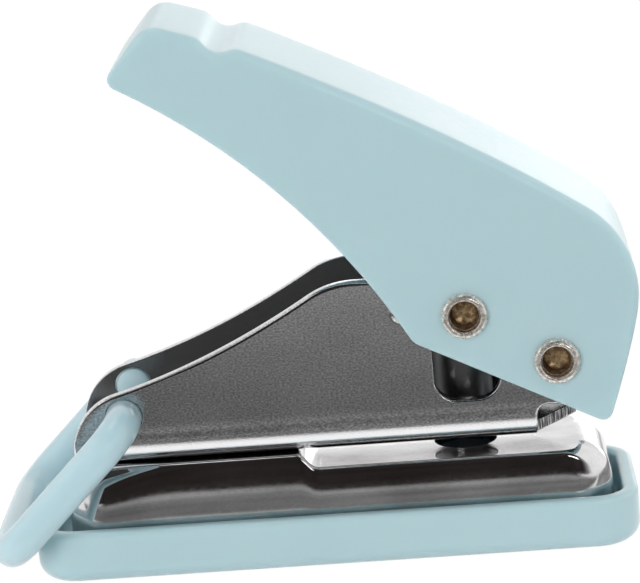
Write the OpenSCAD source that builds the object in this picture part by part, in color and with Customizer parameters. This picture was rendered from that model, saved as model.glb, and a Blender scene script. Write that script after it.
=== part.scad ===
// Single hole punch: a pressed steel frame on a base plate, a moulded lever,
// a chip tray that pulls off the base and a ring that swings up to lock the lever down.
// Origin at the centre of the tray's underside, +X towards the lever's pivot, +Z up.
// Lengths are in millimetres, angles in degrees.

/* [Tray] */
// Length of the chip tray
tray_l = 58.5; // [56:0.5:64]
// Width of the chip tray
tray_w = 17.6; // [17.2:0.1:18.6]
// Height of the tray's rim above the table
tray_h = 5.25; // [4.5:0.05:6]
// Thickness of the tray's side walls
tray_wall = 1.5; // [1.2:0.1:1.8]
// Thickness of the tray's floor
tray_floor = 1.5; // [1:0.1:2]
// Corner radius of the tray seen from above
tray_corner_r = 4.2; // [3.8:0.1:5.5]
// Radius of the tray's rounded bottom edge
tray_bottom_r = 1.8; // [1:0.1:2.4]
// Radius of the tray's rounded rim
tray_rim_r = 0.5; // [0.2:0.1:0.6]
// Radius of the ribs inside the tray that grip the base plate
grip_rib_r = 1.2; // [0.9:0.1:1.6]
// Distance between the two grip ribs on each long side
grip_rib_spacing = 32; // [20:1:40]
// How far the tops of the grip ribs lie below the tray's rim
grip_rib_drop = 1; // [0.8:0.1:1.5]

/* [Base plate] */
// Thickness of the base plate's steel sheet
base_sheet = 1; // [0.8:0.1:1.2]
// Height of the base plate's low top, where paper lies, above the table
base_top_z = 9.45; // [8.5:0.05:11]
// Height of the paper throat between the base plate and the frame
throat = 1.4; // [1:0.1:2]
// Gap between the base plate's skirt and the tray's long walls
base_side_gap = 0.35; // [0.3:0.05:0.5]
// Gap between the base plate's skirt and the tray's rear wall
base_end_gap = 0.7; // [0.5:0.05:1]
// Gap between the base plate's skirt and the tray's front wall
base_front_gap = 1.8; // [0.5:0.05:2]
// How far the skirt leans in from its foot to its top
base_draft = 0.8; // [0.1:0.05:1]
// How much rounder the base plate's corners are than the tray's inside corners
base_corner_extra = 1.3; // [0:0.1:2]
// Radius of the base plate's rounded top edge
base_edge_r = 0.9; // [0.6:0.1:1.1]
// Distance from the throat's end to the punch's axis
throat_depth = 16.4; // [13:0.1:18]
// Length of the step from the raised top down to the low top
step_run = 2.2; // [1.8:0.1:4]

/* [Frame] */
// Outside width of the channel frame
frame_w = 12; // [11.4:0.1:12.4]
// Thickness of the frame's steel sheet
frame_sheet = 1.2; // [1:0.1:1.4]
// Outside radius of the bend between the web and the walls
frame_bend_r = 1.7; // [1.5:0.1:2]
// Radius of the frame's rounded nose
frame_nose_r = 5.85; // [5.4:0.05:6.5]
// Height of the ring's ear holes above the web's underside
ear_rise = 4.9; // [4.6:0.1:5.4]
// Distance from the ear holes back to the centre of the nose's arc
nose_back = 0.7; // [0.4:0.1:1.4]
// Height of the centre of the nose's arc above the web's underside
nose_rise = 1.4; // [1:0.1:2]
// Slope of the wall's top edge where it leaves the nose
nose_slope = 15; // [10:1:22]
// Slope of the wall's top edge where it meets the hump
hump_slope = 31; // [25:1:36]
// Distance from the hump's peak to the punch's axis
hump_back = 9.7; // [8:0.1:12]
// Height of the hump's peak above the web's underside
hump_rise = 16.65; // [16.2:0.05:18]
// Radius of the hump
hump_r = 8.5; // [6:0.1:10]
// Radius of the ears that hold the pivot rivet
pivot_ear_r = 3.9; // [3.4:0.1:4]
// Distance from the pivot back to the foot of the ears over the relief notch
ear_foot_back = 1.6; // [1:0.1:2]
// Width of the slots that the drive rivet moves in
drive_slot_w = 6.3; // [5.8:0.1:6.6]
// Distance from the punch's axis to the middle of the drive slots
drive_slot_shift = 0.55; // [0.3:0.05:0.7]
// Height of the drive slots' lower end above the web's underside
drive_slot_rise = 4.3; // [3.8:0.1:4.8]
// Radius of the drive slots' lower corners
drive_slot_r = 2.2; // [1.5:0.1:2.6]
// Distance from the punch's axis to the wall's edge over the tail
relief_x = 7; // [6:0.1:8]
// Height of the relief notch above the web's underside
relief_rise = 3.3; // [2.6:0.1:3.6]
// Radius of the relief notch's corner
relief_r = 1.2; // [0.8:0.1:1.6]
// How far the web's tapered tail stands past the relief notch
tail_l = 3.9; // [2:0.1:4]
// Width of the tail at its tip
tail_tip_w = 1; // [1:0.1:4]
// How far the tail's tip is bent up above the web
tail_lift = 0.6; // [0:0.1:0.8]
// Radius of the round dimples that centre the lever on the walls
dimple_r = 1.1; // [0.8:0.1:1.4]
// Height of the dimples above the walls
dimple_h = 0.35; // [0.1:0.05:0.4]
// Height of the dimples' centres above the web's underside
dimple_rise = 13.4; // [12:0.1:14]
// Distance from the punch's axis to the dimples' centres
dimple_back = 5.3; // [4.8:0.1:6]

/* [Frame rivets] */
// Diameter of the rivets that hold the frame on the base plate
frame_rivet_d = 2.4; // [2:0.1:3]
// Diameter of their heads
frame_rivet_head_d = 4.4; // [3.6:0.1:5]
// Height of their heads
frame_rivet_head_h = 0.8; // [0.5:0.1:1.2]
// Distance from the throat's end to the rear rivet
rear_rivet_back = 4; // [4:0.5:7]
// Distance between the two rivets
frame_rivet_spacing = 8; // [8:0.5:10.5]

/* [Lever] */
// Distance from the tray's rear end to the pivot
pivot_inset = 7.15; // [6.5:0.05:8]
// Height of the pivot above the web's underside
pivot_rise = 8.25; // [7.8:0.05:9]
// Distance from the pivot forward to the drive rivet
drive_reach = 8.4; // [8:0.1:9]
// Height of the drive rivet above the pivot
drive_rise = 5; // [4.6:0.1:5.4]
// Thickness of the lever's walls
lever_wall = 1.8; // [1.4:0.1:2.2]
// Gap between the lever and the frame's walls
lever_gap = 0.55; // [0.5:0.05:0.8]
// Radius of the lever's rounded long edges
lever_edge_r = 0.8; // [0.4:0.1:0.9]
// Distance from the pivot forward to the nose's lower corner
nose_reach = 40.25; // [38:0.05:42]
// Height of the nose's lower corner above the pivot
nose_up = 29.5; // [28:0.1:32]
// Length of the nose's slanted front face along X
nose_front_x = 4.35; // [3.5:0.05:5]
// Height of the nose's slanted front face
nose_front_z = 5.15; // [4:0.05:6]
// Distance from the pivot forward to the knee where the lower edge turns
knee_reach = 13.35; // [12.8:0.05:14]
// Height of the knee above the pivot
knee_up = 2.65; // [2:0.05:3.2]
// Distance from the pivot back to the heel
heel_back = 4.6; // [4.3:0.1:5]
// Depth of the heel below the pivot
heel_down = 6.55; // [5.6:0.05:6.8]
// Distance from the pivot back to the corner that the shoulder rounds off
shoulder_back = 8.8; // [8.4:0.1:9.4]
// Height of that corner above the pivot
shoulder_up = 10.9; // [10.4:0.1:12]
// Radius of the shoulder
shoulder_r = 10; // [8:0.1:10.5]
// Distance from the pivot forward to the lock groove
groove_reach = 29; // [27:0.1:31]
// Height of the lock groove's centre above the pivot
groove_up = 33.35; // [32.6:0.05:34]
// Crown of the lever's top edge over a straight line
top_crown = 0.9; // [0.1:0.1:1.4]
// Crown of the lever's rear edge over a straight line
rear_crown = 0.45; // [0.1:0.05:0.6]
// Hollow of the lever's lower edge, where fingers go
arch_hollow = 2.6; // [1:0.1:3.4]
// Radius of the heel's corner
heel_r = 0.9; // [0.6:0.1:1.4]
// Radius of the nose's upper corner
nose_top_r = 2.4; // [1:0.1:2.6]
// Radius of the nose's lower corner
nose_low_r = 1; // [0.6:0.1:1.4]
// Radius of the knee's corner
knee_r = 2; // [1:0.1:3]

/* [Lever rivets] */
// Diameter of the shanks of the pivot and drive rivets
rivet_d = 2.8; // [2.6:0.1:3]
// Diameter of the rivets' rolled ends
rivet_roll_d = 4.4; // [3.8:0.1:4.6]
// Height of the rolled ends over the lever's side
rivet_roll_h = 0.6; // [0.4:0.1:0.8]
// Diameter of the hole in the tubular ends
rivet_bore_d = 2.2; // [1.4:0.1:2.2]
// Diameter of that hole at its flared mouth
rivet_mouth_d = 3.1; // [2.8:0.1:3.4]
// Depth of the hole in the tubular ends
rivet_bore_depth = 3; // [2.5:0.1:6]
// Diameter of the rivets' domed heads
rivet_head_d = 5; // [4.4:0.1:5.6]
// Height of the rivets' domed heads
rivet_head_h = 1; // [0.7:0.1:1.4]
// Height of the straight rim under a domed head
rivet_rim_h = 0.2; // [0.1:0.05:0.3]

/* [Punch] */
// Diameter of the punch and of the hole it makes
punch_d = 6; // [5.6:0.1:6.2]
// How far the punch's tip stays above the web's underside at rest
punch_lift = 0.2; // [0.1:0.05:0.5]
// Depth of the hollow across the punch's cutting end
punch_hollow = 0.8; // [0.4:0.1:1.2]
// Steel over the drive rivet at the punch's top end
punch_cap = 1.3; // [1:0.1:1.5]
// Play of the drive rivet in the punch, above and below
drive_play = 0.16; // [0.14:0.01:0.25]

/* [Return spring] */
// Diameter of the spring's wire
wire_d = 0.8; // [0.6:0.05:0.9]
// Gap between the spring's coil and the pivot rivet
coil_gap = 0.4; // [0.3:0.05:0.5]
// Whole turns of the spring, besides the part turn between its legs
coil_turns = 5; // [3:1:5]
// How far the upper leg reaches past the drive rivet
leg_past = 1.6; // [1:0.1:2]
// Distance from the pivot forward to the lower leg's end
lower_leg_reach = 5; // [4.6:0.1:5.4]

/* [Lock ring] */
// Diameter of the ring's rod
ring_d = 3.5; // [3:0.1:3.6]
// Distance from the ear holes to the middle of the ring's crossbar
ring_l = 16.6; // [16.2:0.1:18]
// Distance from the tray's front end to the ear holes
ear_inset = 9.75; // [9.2:0.05:10.4]
// Gap between the ring's arms and the tray's sides
ring_side_gap = 0.45; // [0.4:0.05:0.8]
// Gap between the ring's crossbar and the tray's front end
ring_rest_gap = 0.3; // [0.3:0.05:0.8]
// Radius of the ring's lower corners, at the middle of the rod
ring_corner_r = 3.5; // [2.5:0.1:5]
// Radius of the bends from the arms into the pins, at the middle of the rod
ring_elbow_r = 3; // [1.9:0.1:3.4]
// How far the ring's pins stand inside the frame's walls
ring_pin_in = 0.5; // [0.3:0.1:1]

/* [Fits] */
// Radial clearance of the rivets in their holes
rivet_clear = 0.05; // [0.03:0.01:0.08]
// Radial clearance of the punch in its guide hole and in the die
punch_clear = 0.06; // [0.03:0.01:0.09]
// Radial clearance of the ring's pins in the ears
ring_clear = 0.08; // [0.04:0.01:0.1]
// Clearance between the ring and the lock groove
groove_clear = 0.15; // [0.1:0.05:0.3]
// Clearance between the grip ribs and the skirt
grip_clear = 0.05; // [0.03:0.01:0.1]
// Gap between the spring's legs and what they press on
leg_clear = 0.05; // [0.03:0.01:0.1]

/* [Hidden] */
$fn = 64;
// Steps of one rounded corner and of one long curve in a drawn outline
corner_steps = 6;
curve_steps = 12;
edge_steps = 4;
// Steps of one turn of the spring and sides of its wire
coil_steps = 8;
wire_sides = 6;
// Smallest radius inside a bent sheet
least_bend_r = 0.1;
// Angles at which the ear's arc leaves the frame's top edge and its rear edge
ear_top_angle = 55;
ear_rear_angle = -35;
// Where the lever's top edge runs into the lock groove, in parts of the groove's radius
groove_meet = [0.5, -0.7];
// Fullness of a domed head, in parts of its radius
dome_full = 0.8;
// Length by which a cut runs past the solid that it cuts
over = 1;
plastic_blue = [0.69, 0.81, 0.84];
ring_blue = [0.70, 0.83, 0.88];
chrome = [0.78, 0.78, 0.80];
dark_steel = [0.35, 0.35, 0.37];
nickel = [0.72, 0.68, 0.60];

// Heights of the stacked pieces
web_z = base_top_z + throat;
web_top_z = web_z + frame_sheet;
pivot_z = web_z + pivot_rise;
ear_z = web_z + ear_rise;

// Places along the punch
pivot_x = tray_l / 2 - pivot_inset;
drive_x = pivot_x - drive_reach;
drive_z = pivot_z + drive_rise;
drive_r = norm([drive_reach, drive_rise]);
// The punch stands in the middle of the drive rivet's arc
punch_x = pivot_x - (drive_reach + drive_r) / 2;
ear_x = -tray_l / 2 + ear_inset;
step_x = punch_x - throat_depth;
relief_edge_x = punch_x + relief_x;

// Widths
base_foot_w = tray_w - 2 * (tray_wall + base_side_gap);
base_foot_l = tray_l - 2 * tray_wall - base_end_gap - base_front_gap;
base_mid_x = (base_front_gap - base_end_gap) / 2;
base_corner_r = tray_corner_r - tray_wall + base_corner_extra;
frame_in_w = frame_w - 2 * frame_sheet;
lever_in_w = frame_w + 2 * lever_gap;
lever_w = lever_in_w + 2 * lever_wall;
ring_arm_y = max(tray_w, lever_w) / 2 + ring_side_gap + ring_d / 2;

// The ring leans with its crossbar on the tray's front end
ring_drop = acos((ear_inset + ring_d / 2 + ring_rest_gap) / ring_l);

// Quadratic curve from a to c, drawn towards b
function curve(a, b, c, n) =
    [for (i = [0:n]) let (t = i / n) (1 - t) * (1 - t) * a + 2 * t * (1 - t) * b + t * t * c];
// Arc about c from angle a0 to a1
function arc(c, r, a0, a1, n) =
    [for (i = [0:n]) let (a = a0 + (a1 - a0) * i / n) c + r * [cos(a), sin(a)]];
function unit(v) = v / norm(v);
function left(v) = [-v.y, v.x];
// Length from a corner to where an arc of radius r leaves its sides
function corner_run(a, b, c, r) =
    let (u = unit(a - b), v = unit(c - b)) r * sqrt((1 + u * v) / (1 - u * v));
// Arc of radius r in the corner b between the sides towards a and c
function corner(a, b, c, r, n) =
    let (u = unit(a - b), v = unit(c - b), d = corner_run(a, b, c, r))
    let (m = b + unit(u + v) * norm([d, r]))
    let (p = b + d * u - m, q = b + d * v - m)
    let (turn = acos((p * q) / (r * r)), way = sign(p.x * q.y - p.y * q.x))
    [for (i = [0:n])
        let (w = way * turn * i / n)
        m + [p.x * cos(w) - p.y * sin(w), p.x * sin(w) + p.y * cos(w)]];
// Where the line through a and b, moved left by d, meets the one through b and c, moved left by e
function moved_corner(a, b, c, d, e) =
    let (u = unit(b - a), v = unit(c - b), p = a + d * left(u), q = b + e * left(v))
    let (s = ((q.x - p.x) * v.y - (q.y - p.y) * v.x) / (u.x * v.y - u.y * v.x))
    p + s * u;
function midpoint(a, b) = (a + b) / 2;
// Control point of a curve from a to b that stands off to the right of the chord by h
function bowed(a, b, h) = midpoint(a, b) - 2 * h * left(unit(b - a));

// Drawn profile, x outwards from a corner's axis, carried round a rectangle with round corners
module carry_round(l, w, r) {
    for (i = [0:3])
        let (sx = i == 0 || i == 3 ? 1 : -1, sy = i < 2 ? 1 : -1)
        translate([sx * (l / 2 - r), sy * (w / 2 - r), 0])
            rotate(90 * i)
            rotate_extrude(angle = 90)
            children();
    for (s = [0, 180])
        rotate(s) {
            translate([l / 2 - r, w / 2 - r, 0])
                rotate([90, 0, 0])
                linear_extrude(w - 2 * r)
                children();
            translate([-(l / 2 - r), w / 2 - r, 0])
                rotate([90, 0, 90])
                linear_extrude(l - 2 * r)
                children();
        }
}

module plate(l, w, z0, z1) {
    translate([-l / 2, -w / 2, z0])
        cube([l, w, z1 - z0]);
}

// A side view, drawn in X and Z, given the width w across the object
module across(w) {
    translate([0, w / 2, 0])
        rotate([90, 0, 0])
        linear_extrude(w)
        children();
}

// A bar along Y from y0 to y1
module bar_y(x, z, d, y0, y1) {
    translate([x, y1, z])
        rotate([90, 0, 0])
        cylinder(d = d, h = y1 - y0);
}

// Wall and floor of the tray, out from the axis of a corner
module tray_profile() {
    in_r = tray_corner_r - tray_wall;
    polygon(concat(
        [[0, 0]],
        arc([tray_corner_r - tray_bottom_r, tray_bottom_r], tray_bottom_r, -90, 0, corner_steps),
        arc([tray_corner_r - tray_rim_r, tray_h - tray_rim_r], tray_rim_r, 0, 90, corner_steps),
        arc([in_r + tray_rim_r, tray_h - tray_rim_r], tray_rim_r, 90, 180, corner_steps),
        [[in_r, tray_floor], [0, tray_floor]]));
}

// Upright half-round rib whose crown stands at distance reach from the middle of the tray
module grip_rib(reach) {
    translate([0, reach + grip_rib_r, tray_floor / 2])
        cylinder(r = grip_rib_r, h = tray_h - grip_rib_drop - tray_floor / 2);
}

module chip_tray() {
    color(plastic_blue) {
        carry_round(tray_l, tray_w, tray_corner_r)
            tray_profile();
        plate(tray_l - 2 * tray_corner_r, tray_w - 2 * tray_corner_r, 0, tray_floor);
        intersection() {
            union()
                for (s = [0, 180])
                    rotate(s)
                    for (x = [-grip_rib_spacing / 2, grip_rib_spacing / 2])
                        translate([x, 0, 0])
                        grip_rib(base_foot_w / 2 + grip_clear);
            plate(tray_l, tray_w - tray_wall, 0, tray_h);
        }
    }
}

// Side view of the base plate's outside, or of its inside, which lies d further in
function pan_foot_z(d) = tray_floor - (d > 0 ? over : 0);
module pan_profile(top, d) {
    foot = base_corner_r - d;
    edge = max(base_edge_r - d, least_bend_r);
    crest = foot - base_draft;
    polygon(concat(
        [[0, pan_foot_z(d)], [foot, pan_foot_z(d)]],
        arc([crest - edge, top - d - edge], edge, 0, 90, corner_steps),
        [[0, top - d]]));
}

module pan(top, d) {
    r = base_corner_r - d;
    carry_round(base_foot_l - 2 * d, base_foot_w - 2 * d, r)
        pan_profile(top, d);
    plate(base_foot_l - 2 * d - 2 * r, base_foot_w - 2 * d - 2 * r, pan_foot_z(d), top - d);
}

// Side view of the raised front top and the step that leads down from it, moved in by d
module raised_view(d) {
    x0 = step_x - d;
    x1 = step_x + step_run - d;
    mid = (x0 + x1) / 2;
    high = web_z - d;
    low = base_top_z - d;
    polygon(concat(
        [[-tray_l, low - over], [-tray_l, high]],
        curve([x0, high], [midpoint(x0, mid), high], [mid, midpoint(high, low)], corner_steps),
        curve([mid, midpoint(high, low)], [midpoint(mid, x1), low], [x1, low], corner_steps),
        [[x1, low - over]]));
}

module base_form(d) {
    translate([base_mid_x, 0, 0])
        pan(base_top_z, d);
    intersection() {
        translate([base_mid_x, 0, 0])
            pan(web_z, d);
        across(tray_w)
            raised_view(d);
    }
}

module base_plate() {
    color(chrome)
    difference() {
        base_form(0);
        base_form(base_sheet);
        translate([punch_x, 0, base_top_z - 2 * base_sheet])
            cylinder(r = punch_d / 2 + punch_clear, h = 3 * base_sheet);
        frame_rivet_places()
            translate([0, 0, web_z - 2 * base_sheet])
            cylinder(r = frame_rivet_d / 2 + rivet_clear, h = 3 * base_sheet);
    }
}

module frame_rivet_places() {
    for (i = [0, 1])
        translate([frame_rivet_x(i), 0, 0])
        children();
}
function frame_rivet_x(i) = step_x - rear_rivet_back - i * frame_rivet_spacing;

// Side view of the frame's walls
module wall_view() {
    nose_c = [ear_x + nose_back, web_z + nose_rise];
    hump_c = [punch_x - hump_back, web_z + hump_rise - hump_r];
    rise_a = nose_c + frame_nose_r * [cos(90 + nose_slope), sin(90 + nose_slope)];
    rise_c = hump_c + hump_r * [cos(90 + hump_slope), sin(90 + hump_slope)];
    rise_b = moved_corner(rise_a - [cos(nose_slope), sin(nose_slope)], rise_a,
                          rise_a + [cos(hump_slope), sin(hump_slope)], 0,
                          (rise_c - rise_a) * left([cos(hump_slope), sin(hump_slope)]));
    notch_z = web_z + relief_rise;
    pivot = [pivot_x, pivot_z];
    ear_foot = [pivot_x + ear_foot_back, notch_z];
    slot_end = [drive_x, drive_z] + (rivet_d / 2 + frame_sheet) * [1, 1];
    polygon(concat(
        [[nose_c.x - frame_nose_r, web_z]],
        arc(nose_c, frame_nose_r, 180, 90 + nose_slope, corner_steps),
        curve(rise_a, rise_b, rise_c, curve_steps),
        arc(hump_c, hump_r, 90 + hump_slope, 90, corner_steps),
        [[slot_end.x, web_z + hump_rise]],
        arc(pivot, pivot_ear_r, ear_top_angle, ear_rear_angle, curve_steps),
        [ear_foot],
        corner(ear_foot, [relief_edge_x, notch_z], [relief_edge_x, web_z], relief_r, corner_steps),
        [[relief_edge_x, web_z]]));
}

// Section of the channel, in Y and Z
module channel_section() {
    in_r = frame_bend_r - frame_sheet;
    out_y = frame_w / 2;
    in_y = frame_in_w / 2;
    top = web_z + hump_rise + over;
    polygon(concat(
        [[out_y, top]],
        arc([out_y - frame_bend_r, web_z + frame_bend_r], frame_bend_r, 0, -90, corner_steps),
        arc([-out_y + frame_bend_r, web_z + frame_bend_r], frame_bend_r, -90, -180, corner_steps),
        [[-out_y, top], [-in_y, top]],
        arc([-in_y + in_r, web_top_z + in_r], in_r, 180, 270, corner_steps),
        arc([in_y - in_r, web_top_z + in_r], in_r, -90, 0, corner_steps),
        [[in_y, top]]));
}

// Tapered tail of the web, seen from above
module tail_plan() {
    half = frame_w / 2 - frame_bend_r;
    tip_x = relief_edge_x + tail_l;
    polygon([[relief_edge_x - over, half], [relief_edge_x - over, -half], [relief_edge_x, -half],
             [tip_x, -tail_tip_w / 2], [tip_x, tail_tip_w / 2], [relief_edge_x, half]]);
}

// The same tail, seen from the side
module tail_view() {
    root_x = relief_edge_x - over;
    tip_x = relief_edge_x + tail_l;
    polygon([[root_x, web_z], [relief_edge_x, web_z], [tip_x, web_z + tail_lift],
             [tip_x, web_top_z + tail_lift], [relief_edge_x, web_top_z], [root_x, web_top_z]]);
}

module drive_slot_view() {
    x0 = punch_x + drive_slot_shift - drive_slot_w / 2;
    x1 = x0 + drive_slot_w;
    z0 = web_z + drive_slot_rise;
    z1 = drive_z + rivet_d / 2 + rivet_clear;
    polygon(concat(
        [[x0, z1]],
        corner([x0, z1], [x0, z0], [x1, z0], drive_slot_r, corner_steps),
        corner([x0, z0], [x1, z0], [x1, z1], drive_slot_r, corner_steps),
        [[x1, z1]]));
}

// Cap of a ball that stands dimple_h out of the walls
module dimples() {
    ball_r = (dimple_r * dimple_r + dimple_h * dimple_h) / (2 * dimple_h);
    for (s = [0, 180])
        translate([punch_x - dimple_back, 0, web_z + dimple_rise])
        rotate(s)
        intersection() {
            translate([0, -frame_w / 2 - dimple_h + ball_r, 0])
                sphere(r = ball_r);
            bar_y(0, 0, 2 * dimple_r, -frame_w / 2 - over, -frame_w / 2 + frame_sheet / 2);
        }
}

module upper_frame() {
    color(chrome)
    difference() {
        union() {
            intersection() {
                across(frame_w + 2 * over)
                    wall_view();
                translate([-tray_l, 0, 0])
                    rotate([90, 0, 90])
                    linear_extrude(2 * tray_l)
                    channel_section();
            }
            intersection() {
                across(frame_w)
                    tail_view();
                linear_extrude(web_top_z + tail_lift + over)
                    tail_plan();
            }
            dimples();
        }
        across(frame_w + 2 * over)
            drive_slot_view();
        bar_y(pivot_x, pivot_z, rivet_d + 2 * rivet_clear, -frame_w, frame_w);
        bar_y(ear_x, ear_z, ring_d + 2 * ring_clear, -frame_w, frame_w);
        translate([punch_x, 0, web_z - over])
            cylinder(r = punch_d / 2 + punch_clear, h = frame_sheet + 2 * over);
        frame_rivet_places()
            translate([0, 0, web_z - over])
            cylinder(r = frame_rivet_d / 2 + rivet_clear, h = frame_sheet + 2 * over);
    }
}

// Rivet with a domed head on the web and a set end under the base plate
module frame_rivet() {
    head_r = frame_rivet_head_d / 2;
    shank_r = frame_rivet_d / 2;
    foot_z = web_z - base_sheet;
    set_z = foot_z - frame_rivet_head_h;
    set_r = shank_r + frame_rivet_head_h;
    crown_z = web_top_z + frame_rivet_head_h;
    color(nickel)
    rotate_extrude()
    polygon(concat(
        [[0, set_z], [set_r - frame_rivet_head_h / 2, set_z], [set_r, foot_z]],
        [[shank_r, foot_z], [shank_r, web_top_z], [head_r, web_top_z]],
        curve([head_r, web_top_z + rivet_rim_h], [head_r, crown_z], [0, crown_z], corner_steps)));
}

module front_frame_rivet() {
    translate([frame_rivet_x(1), 0, 0])
        frame_rivet();
}

module rear_frame_rivet() {
    translate([frame_rivet_x(0), 0, 0])
        frame_rivet();
}

// Corners of the lever's side view: heel, shoulder, nose top, nose tip and knee
heel = [pivot_x + heel_back, pivot_z - heel_down];
shoulder = [pivot_x + shoulder_back, pivot_z + shoulder_up];
nose_low = [pivot_x - nose_reach, pivot_z + nose_up];
nose_top = nose_low + [nose_front_x, nose_front_z];
knee = [pivot_x - knee_reach, pivot_z + knee_up];
groove = [pivot_x - groove_reach, pivot_z + groove_up];
groove_r = ring_d / 2 + groove_clear;
// The top edge runs into the lock groove a little under its centre
top_end = groove + groove_r * groove_meet;
rear_bow = bowed(heel, shoulder, rear_crown);
top_bow = bowed(shoulder, top_end, top_crown);
arch_bow = bowed(nose_low, knee, -arch_hollow);

// Side view of the lever, against the clock, with its corners rounded. Each point carries
// its share of the long edges' rounding, which is whole on top, runs out down the rear and the
// nose's front and is none along the lower edge.
function lever_outline() =
    let (h = corner(knee, heel, rear_bow, heel_r, corner_steps))
    let (s = corner(rear_bow, shoulder, top_bow, shoulder_r, curve_steps))
    let (t = corner(top_end, nose_top, nose_low, nose_top_r, corner_steps))
    let (n = corner(nose_top, nose_low, arch_bow, nose_low_r, corner_steps))
    let (k = corner(arch_bow, knee, heel, knee_r, corner_steps))
    let (rear = curve(h[corner_steps], rear_bow, s[0], corner_steps))
    let (top = curve(s[curve_steps], top_bow, top_end, curve_steps))
    let (arch = curve(n[corner_steps], arch_bow, k[0], curve_steps))
    concat(shared(h, 0, 0), shared(inner(rear), 0, 1), shared(s, 1, 1), shared(inner(top), 1, 1),
           shared([top_end], 1, 1), shared(t, 1, 1), shared(n, 0, 0), shared(inner(arch), 0, 0),
           shared(k, 0, 0));
function shared(list, a, b) =
    [for (i = [0:len(list) - 1]) [list[i].x, list[i].y, a + (b - a) * i / max(len(list) - 1, 1)]];
function inner(list) = [for (i = [1:len(list) - 2]) list[i]];

// The outline moved in by its shares of d along its own normals
function flat(p) = [p.x, p.y];
function inset_outline(list, d) =
    let (n = len(list))
    [for (i = [0:n - 1])
        let (p = flat(list[i]), before = flat(list[(i + n - 1) % n]), after = flat(list[(i + 1) % n]))
        let (u = unit(p - before), v = unit(after - p))
        p + list[i].z * d * unit(left(u) + left(v)) / sqrt((1 + u * v) / 2)];

// Strip of triangles between two edges of one side, each step taken where along is less
function strip(along, a, b, i = 0, j = 0) =
    let (a_done = i == len(a) - 1, b_done = j == len(b) - 1)
    a_done && b_done ? [] :
    b_done || (!a_done && along[a[i + 1]] < along[b[j + 1]])
        ? concat([[b[j], a[i + 1], a[i]]], strip(along, a, b, i + 1, j))
        : concat([[b[j], b[j + 1], a[i]]], strip(along, a, b, i, j + 1));

// The lever's body, its outline carried from side to side with rounded long edges
module lever_body() {
    outline = lever_outline();
    n = len(outline);
    along = inset_outline(outline, lever_edge_r) * unit(left(nose_top - nose_low));
    last = max([for (i = [0:n - 1]) if (outline[i].z == 1) i]);
    upper = [for (i = [1:last]) i];
    lower = concat([0], [for (i = [n - 1:-1:last + 1]) i]);
    half = lever_w / 2;
    near = [for (i = [0:edge_steps]) let (a = 90 * i / edge_steps)
        [lever_edge_r * (1 - cos(a)) - half, lever_edge_r * (1 - sin(a))]];
    far = [for (i = [edge_steps:-1:0]) [-near[i].x, near[i].y]];
    sections = [for (s = concat(near, far))
        [for (p = inset_outline(outline, s.y)) [p.x, s.x, p.y]]];
    m = len(sections);
    points = [for (s = sections) each s];
    walls = [for (j = [0:m - 2], i = [0:n - 1])
        let (a = j * n + i, b = j * n + (i + 1) % n)
        each [[a, b, b + n], [a, b + n, a + n]]];
    near_side = strip(along, upper, lower);
    far_side = [for (t = near_side) [for (i = [2:-1:0]) t[i] + (m - 1) * n]];
    polyhedron(points, concat(near_side, walls, far_side));
}

// Side view of the lever's hollow, open along the lower edge
module lever_hollow_view() {
    w = lever_wall;
    open = -2 * over;
    c_heel = moved_corner(knee, heel, rear_bow, open, w);
    c_rear = moved_corner(heel, rear_bow, shoulder, w, w);
    c_shoulder = moved_corner(rear_bow, shoulder, top_bow, w, w);
    c_top = moved_corner(shoulder, top_bow, top_end, w, w);
    c_end = moved_corner(top_bow, top_end, nose_top, w, w);
    c_nose = moved_corner(top_end, nose_top, nose_low, w, w);
    c_low = moved_corner(nose_top, nose_low, arch_bow, w, open);
    c_arch = moved_corner(nose_low, arch_bow, knee, open, open);
    c_knee = moved_corner(arch_bow, knee, heel, open, open);
    round_back = corner(c_rear, c_shoulder, c_top, shoulder_r - w, curve_steps);
    polygon(concat(
        curve(c_heel, c_rear, round_back[0], corner_steps),
        inner(round_back),
        curve(round_back[curve_steps], c_top, c_end, curve_steps),
        [c_nose],
        curve(c_low, c_arch, c_knee, curve_steps)));
}

module lever() {
    color(plastic_blue)
    difference() {
        lever_body();
        across(lever_in_w)
            lever_hollow_view();
        bar_y(groove.x, groove.y, 2 * groove_r, -lever_w, lever_w);
        bar_y(pivot_x, pivot_z, rivet_d + 2 * rivet_clear, -lever_w, lever_w);
        bar_y(drive_x, drive_z, rivet_d + 2 * rivet_clear, -lever_w, lever_w);
    }
}

// Half-tubular rivet across the lever, rolled over on the near side and domed on the far side
module lever_rivet(x, z) {
    bore_r = rivet_bore_d / 2;
    mouth_r = rivet_mouth_d / 2;
    roll_r = rivet_roll_d / 2;
    head_r = rivet_head_d / 2;
    shank_r = rivet_d / 2;
    crown_y = lever_w + rivet_head_h;
    color(nickel)
    translate([x, -lever_w / 2, z])
    rotate([-90, 0, 0])
    rotate_extrude()
    polygon(concat(
        [[0, rivet_bore_depth + bore_r / 2], [bore_r, rivet_bore_depth]],
        curve([bore_r, 2 * rivet_roll_h], [bore_r, 0], [mouth_r, -rivet_roll_h], corner_steps),
        curve([midpoint(mouth_r, roll_r), -rivet_roll_h], [roll_r, -rivet_roll_h], [roll_r, 0],
              corner_steps),
        [[shank_r, 0], [shank_r, lever_w], [head_r, lever_w]],
        curve([head_r, lever_w + rivet_rim_h], [head_r * dome_full, crown_y], [0, crown_y],
              corner_steps)));
}

module pivot_rivet() {
    lever_rivet(pivot_x, pivot_z);
}

module drive_rivet() {
    lever_rivet(drive_x, drive_z);
}

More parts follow.
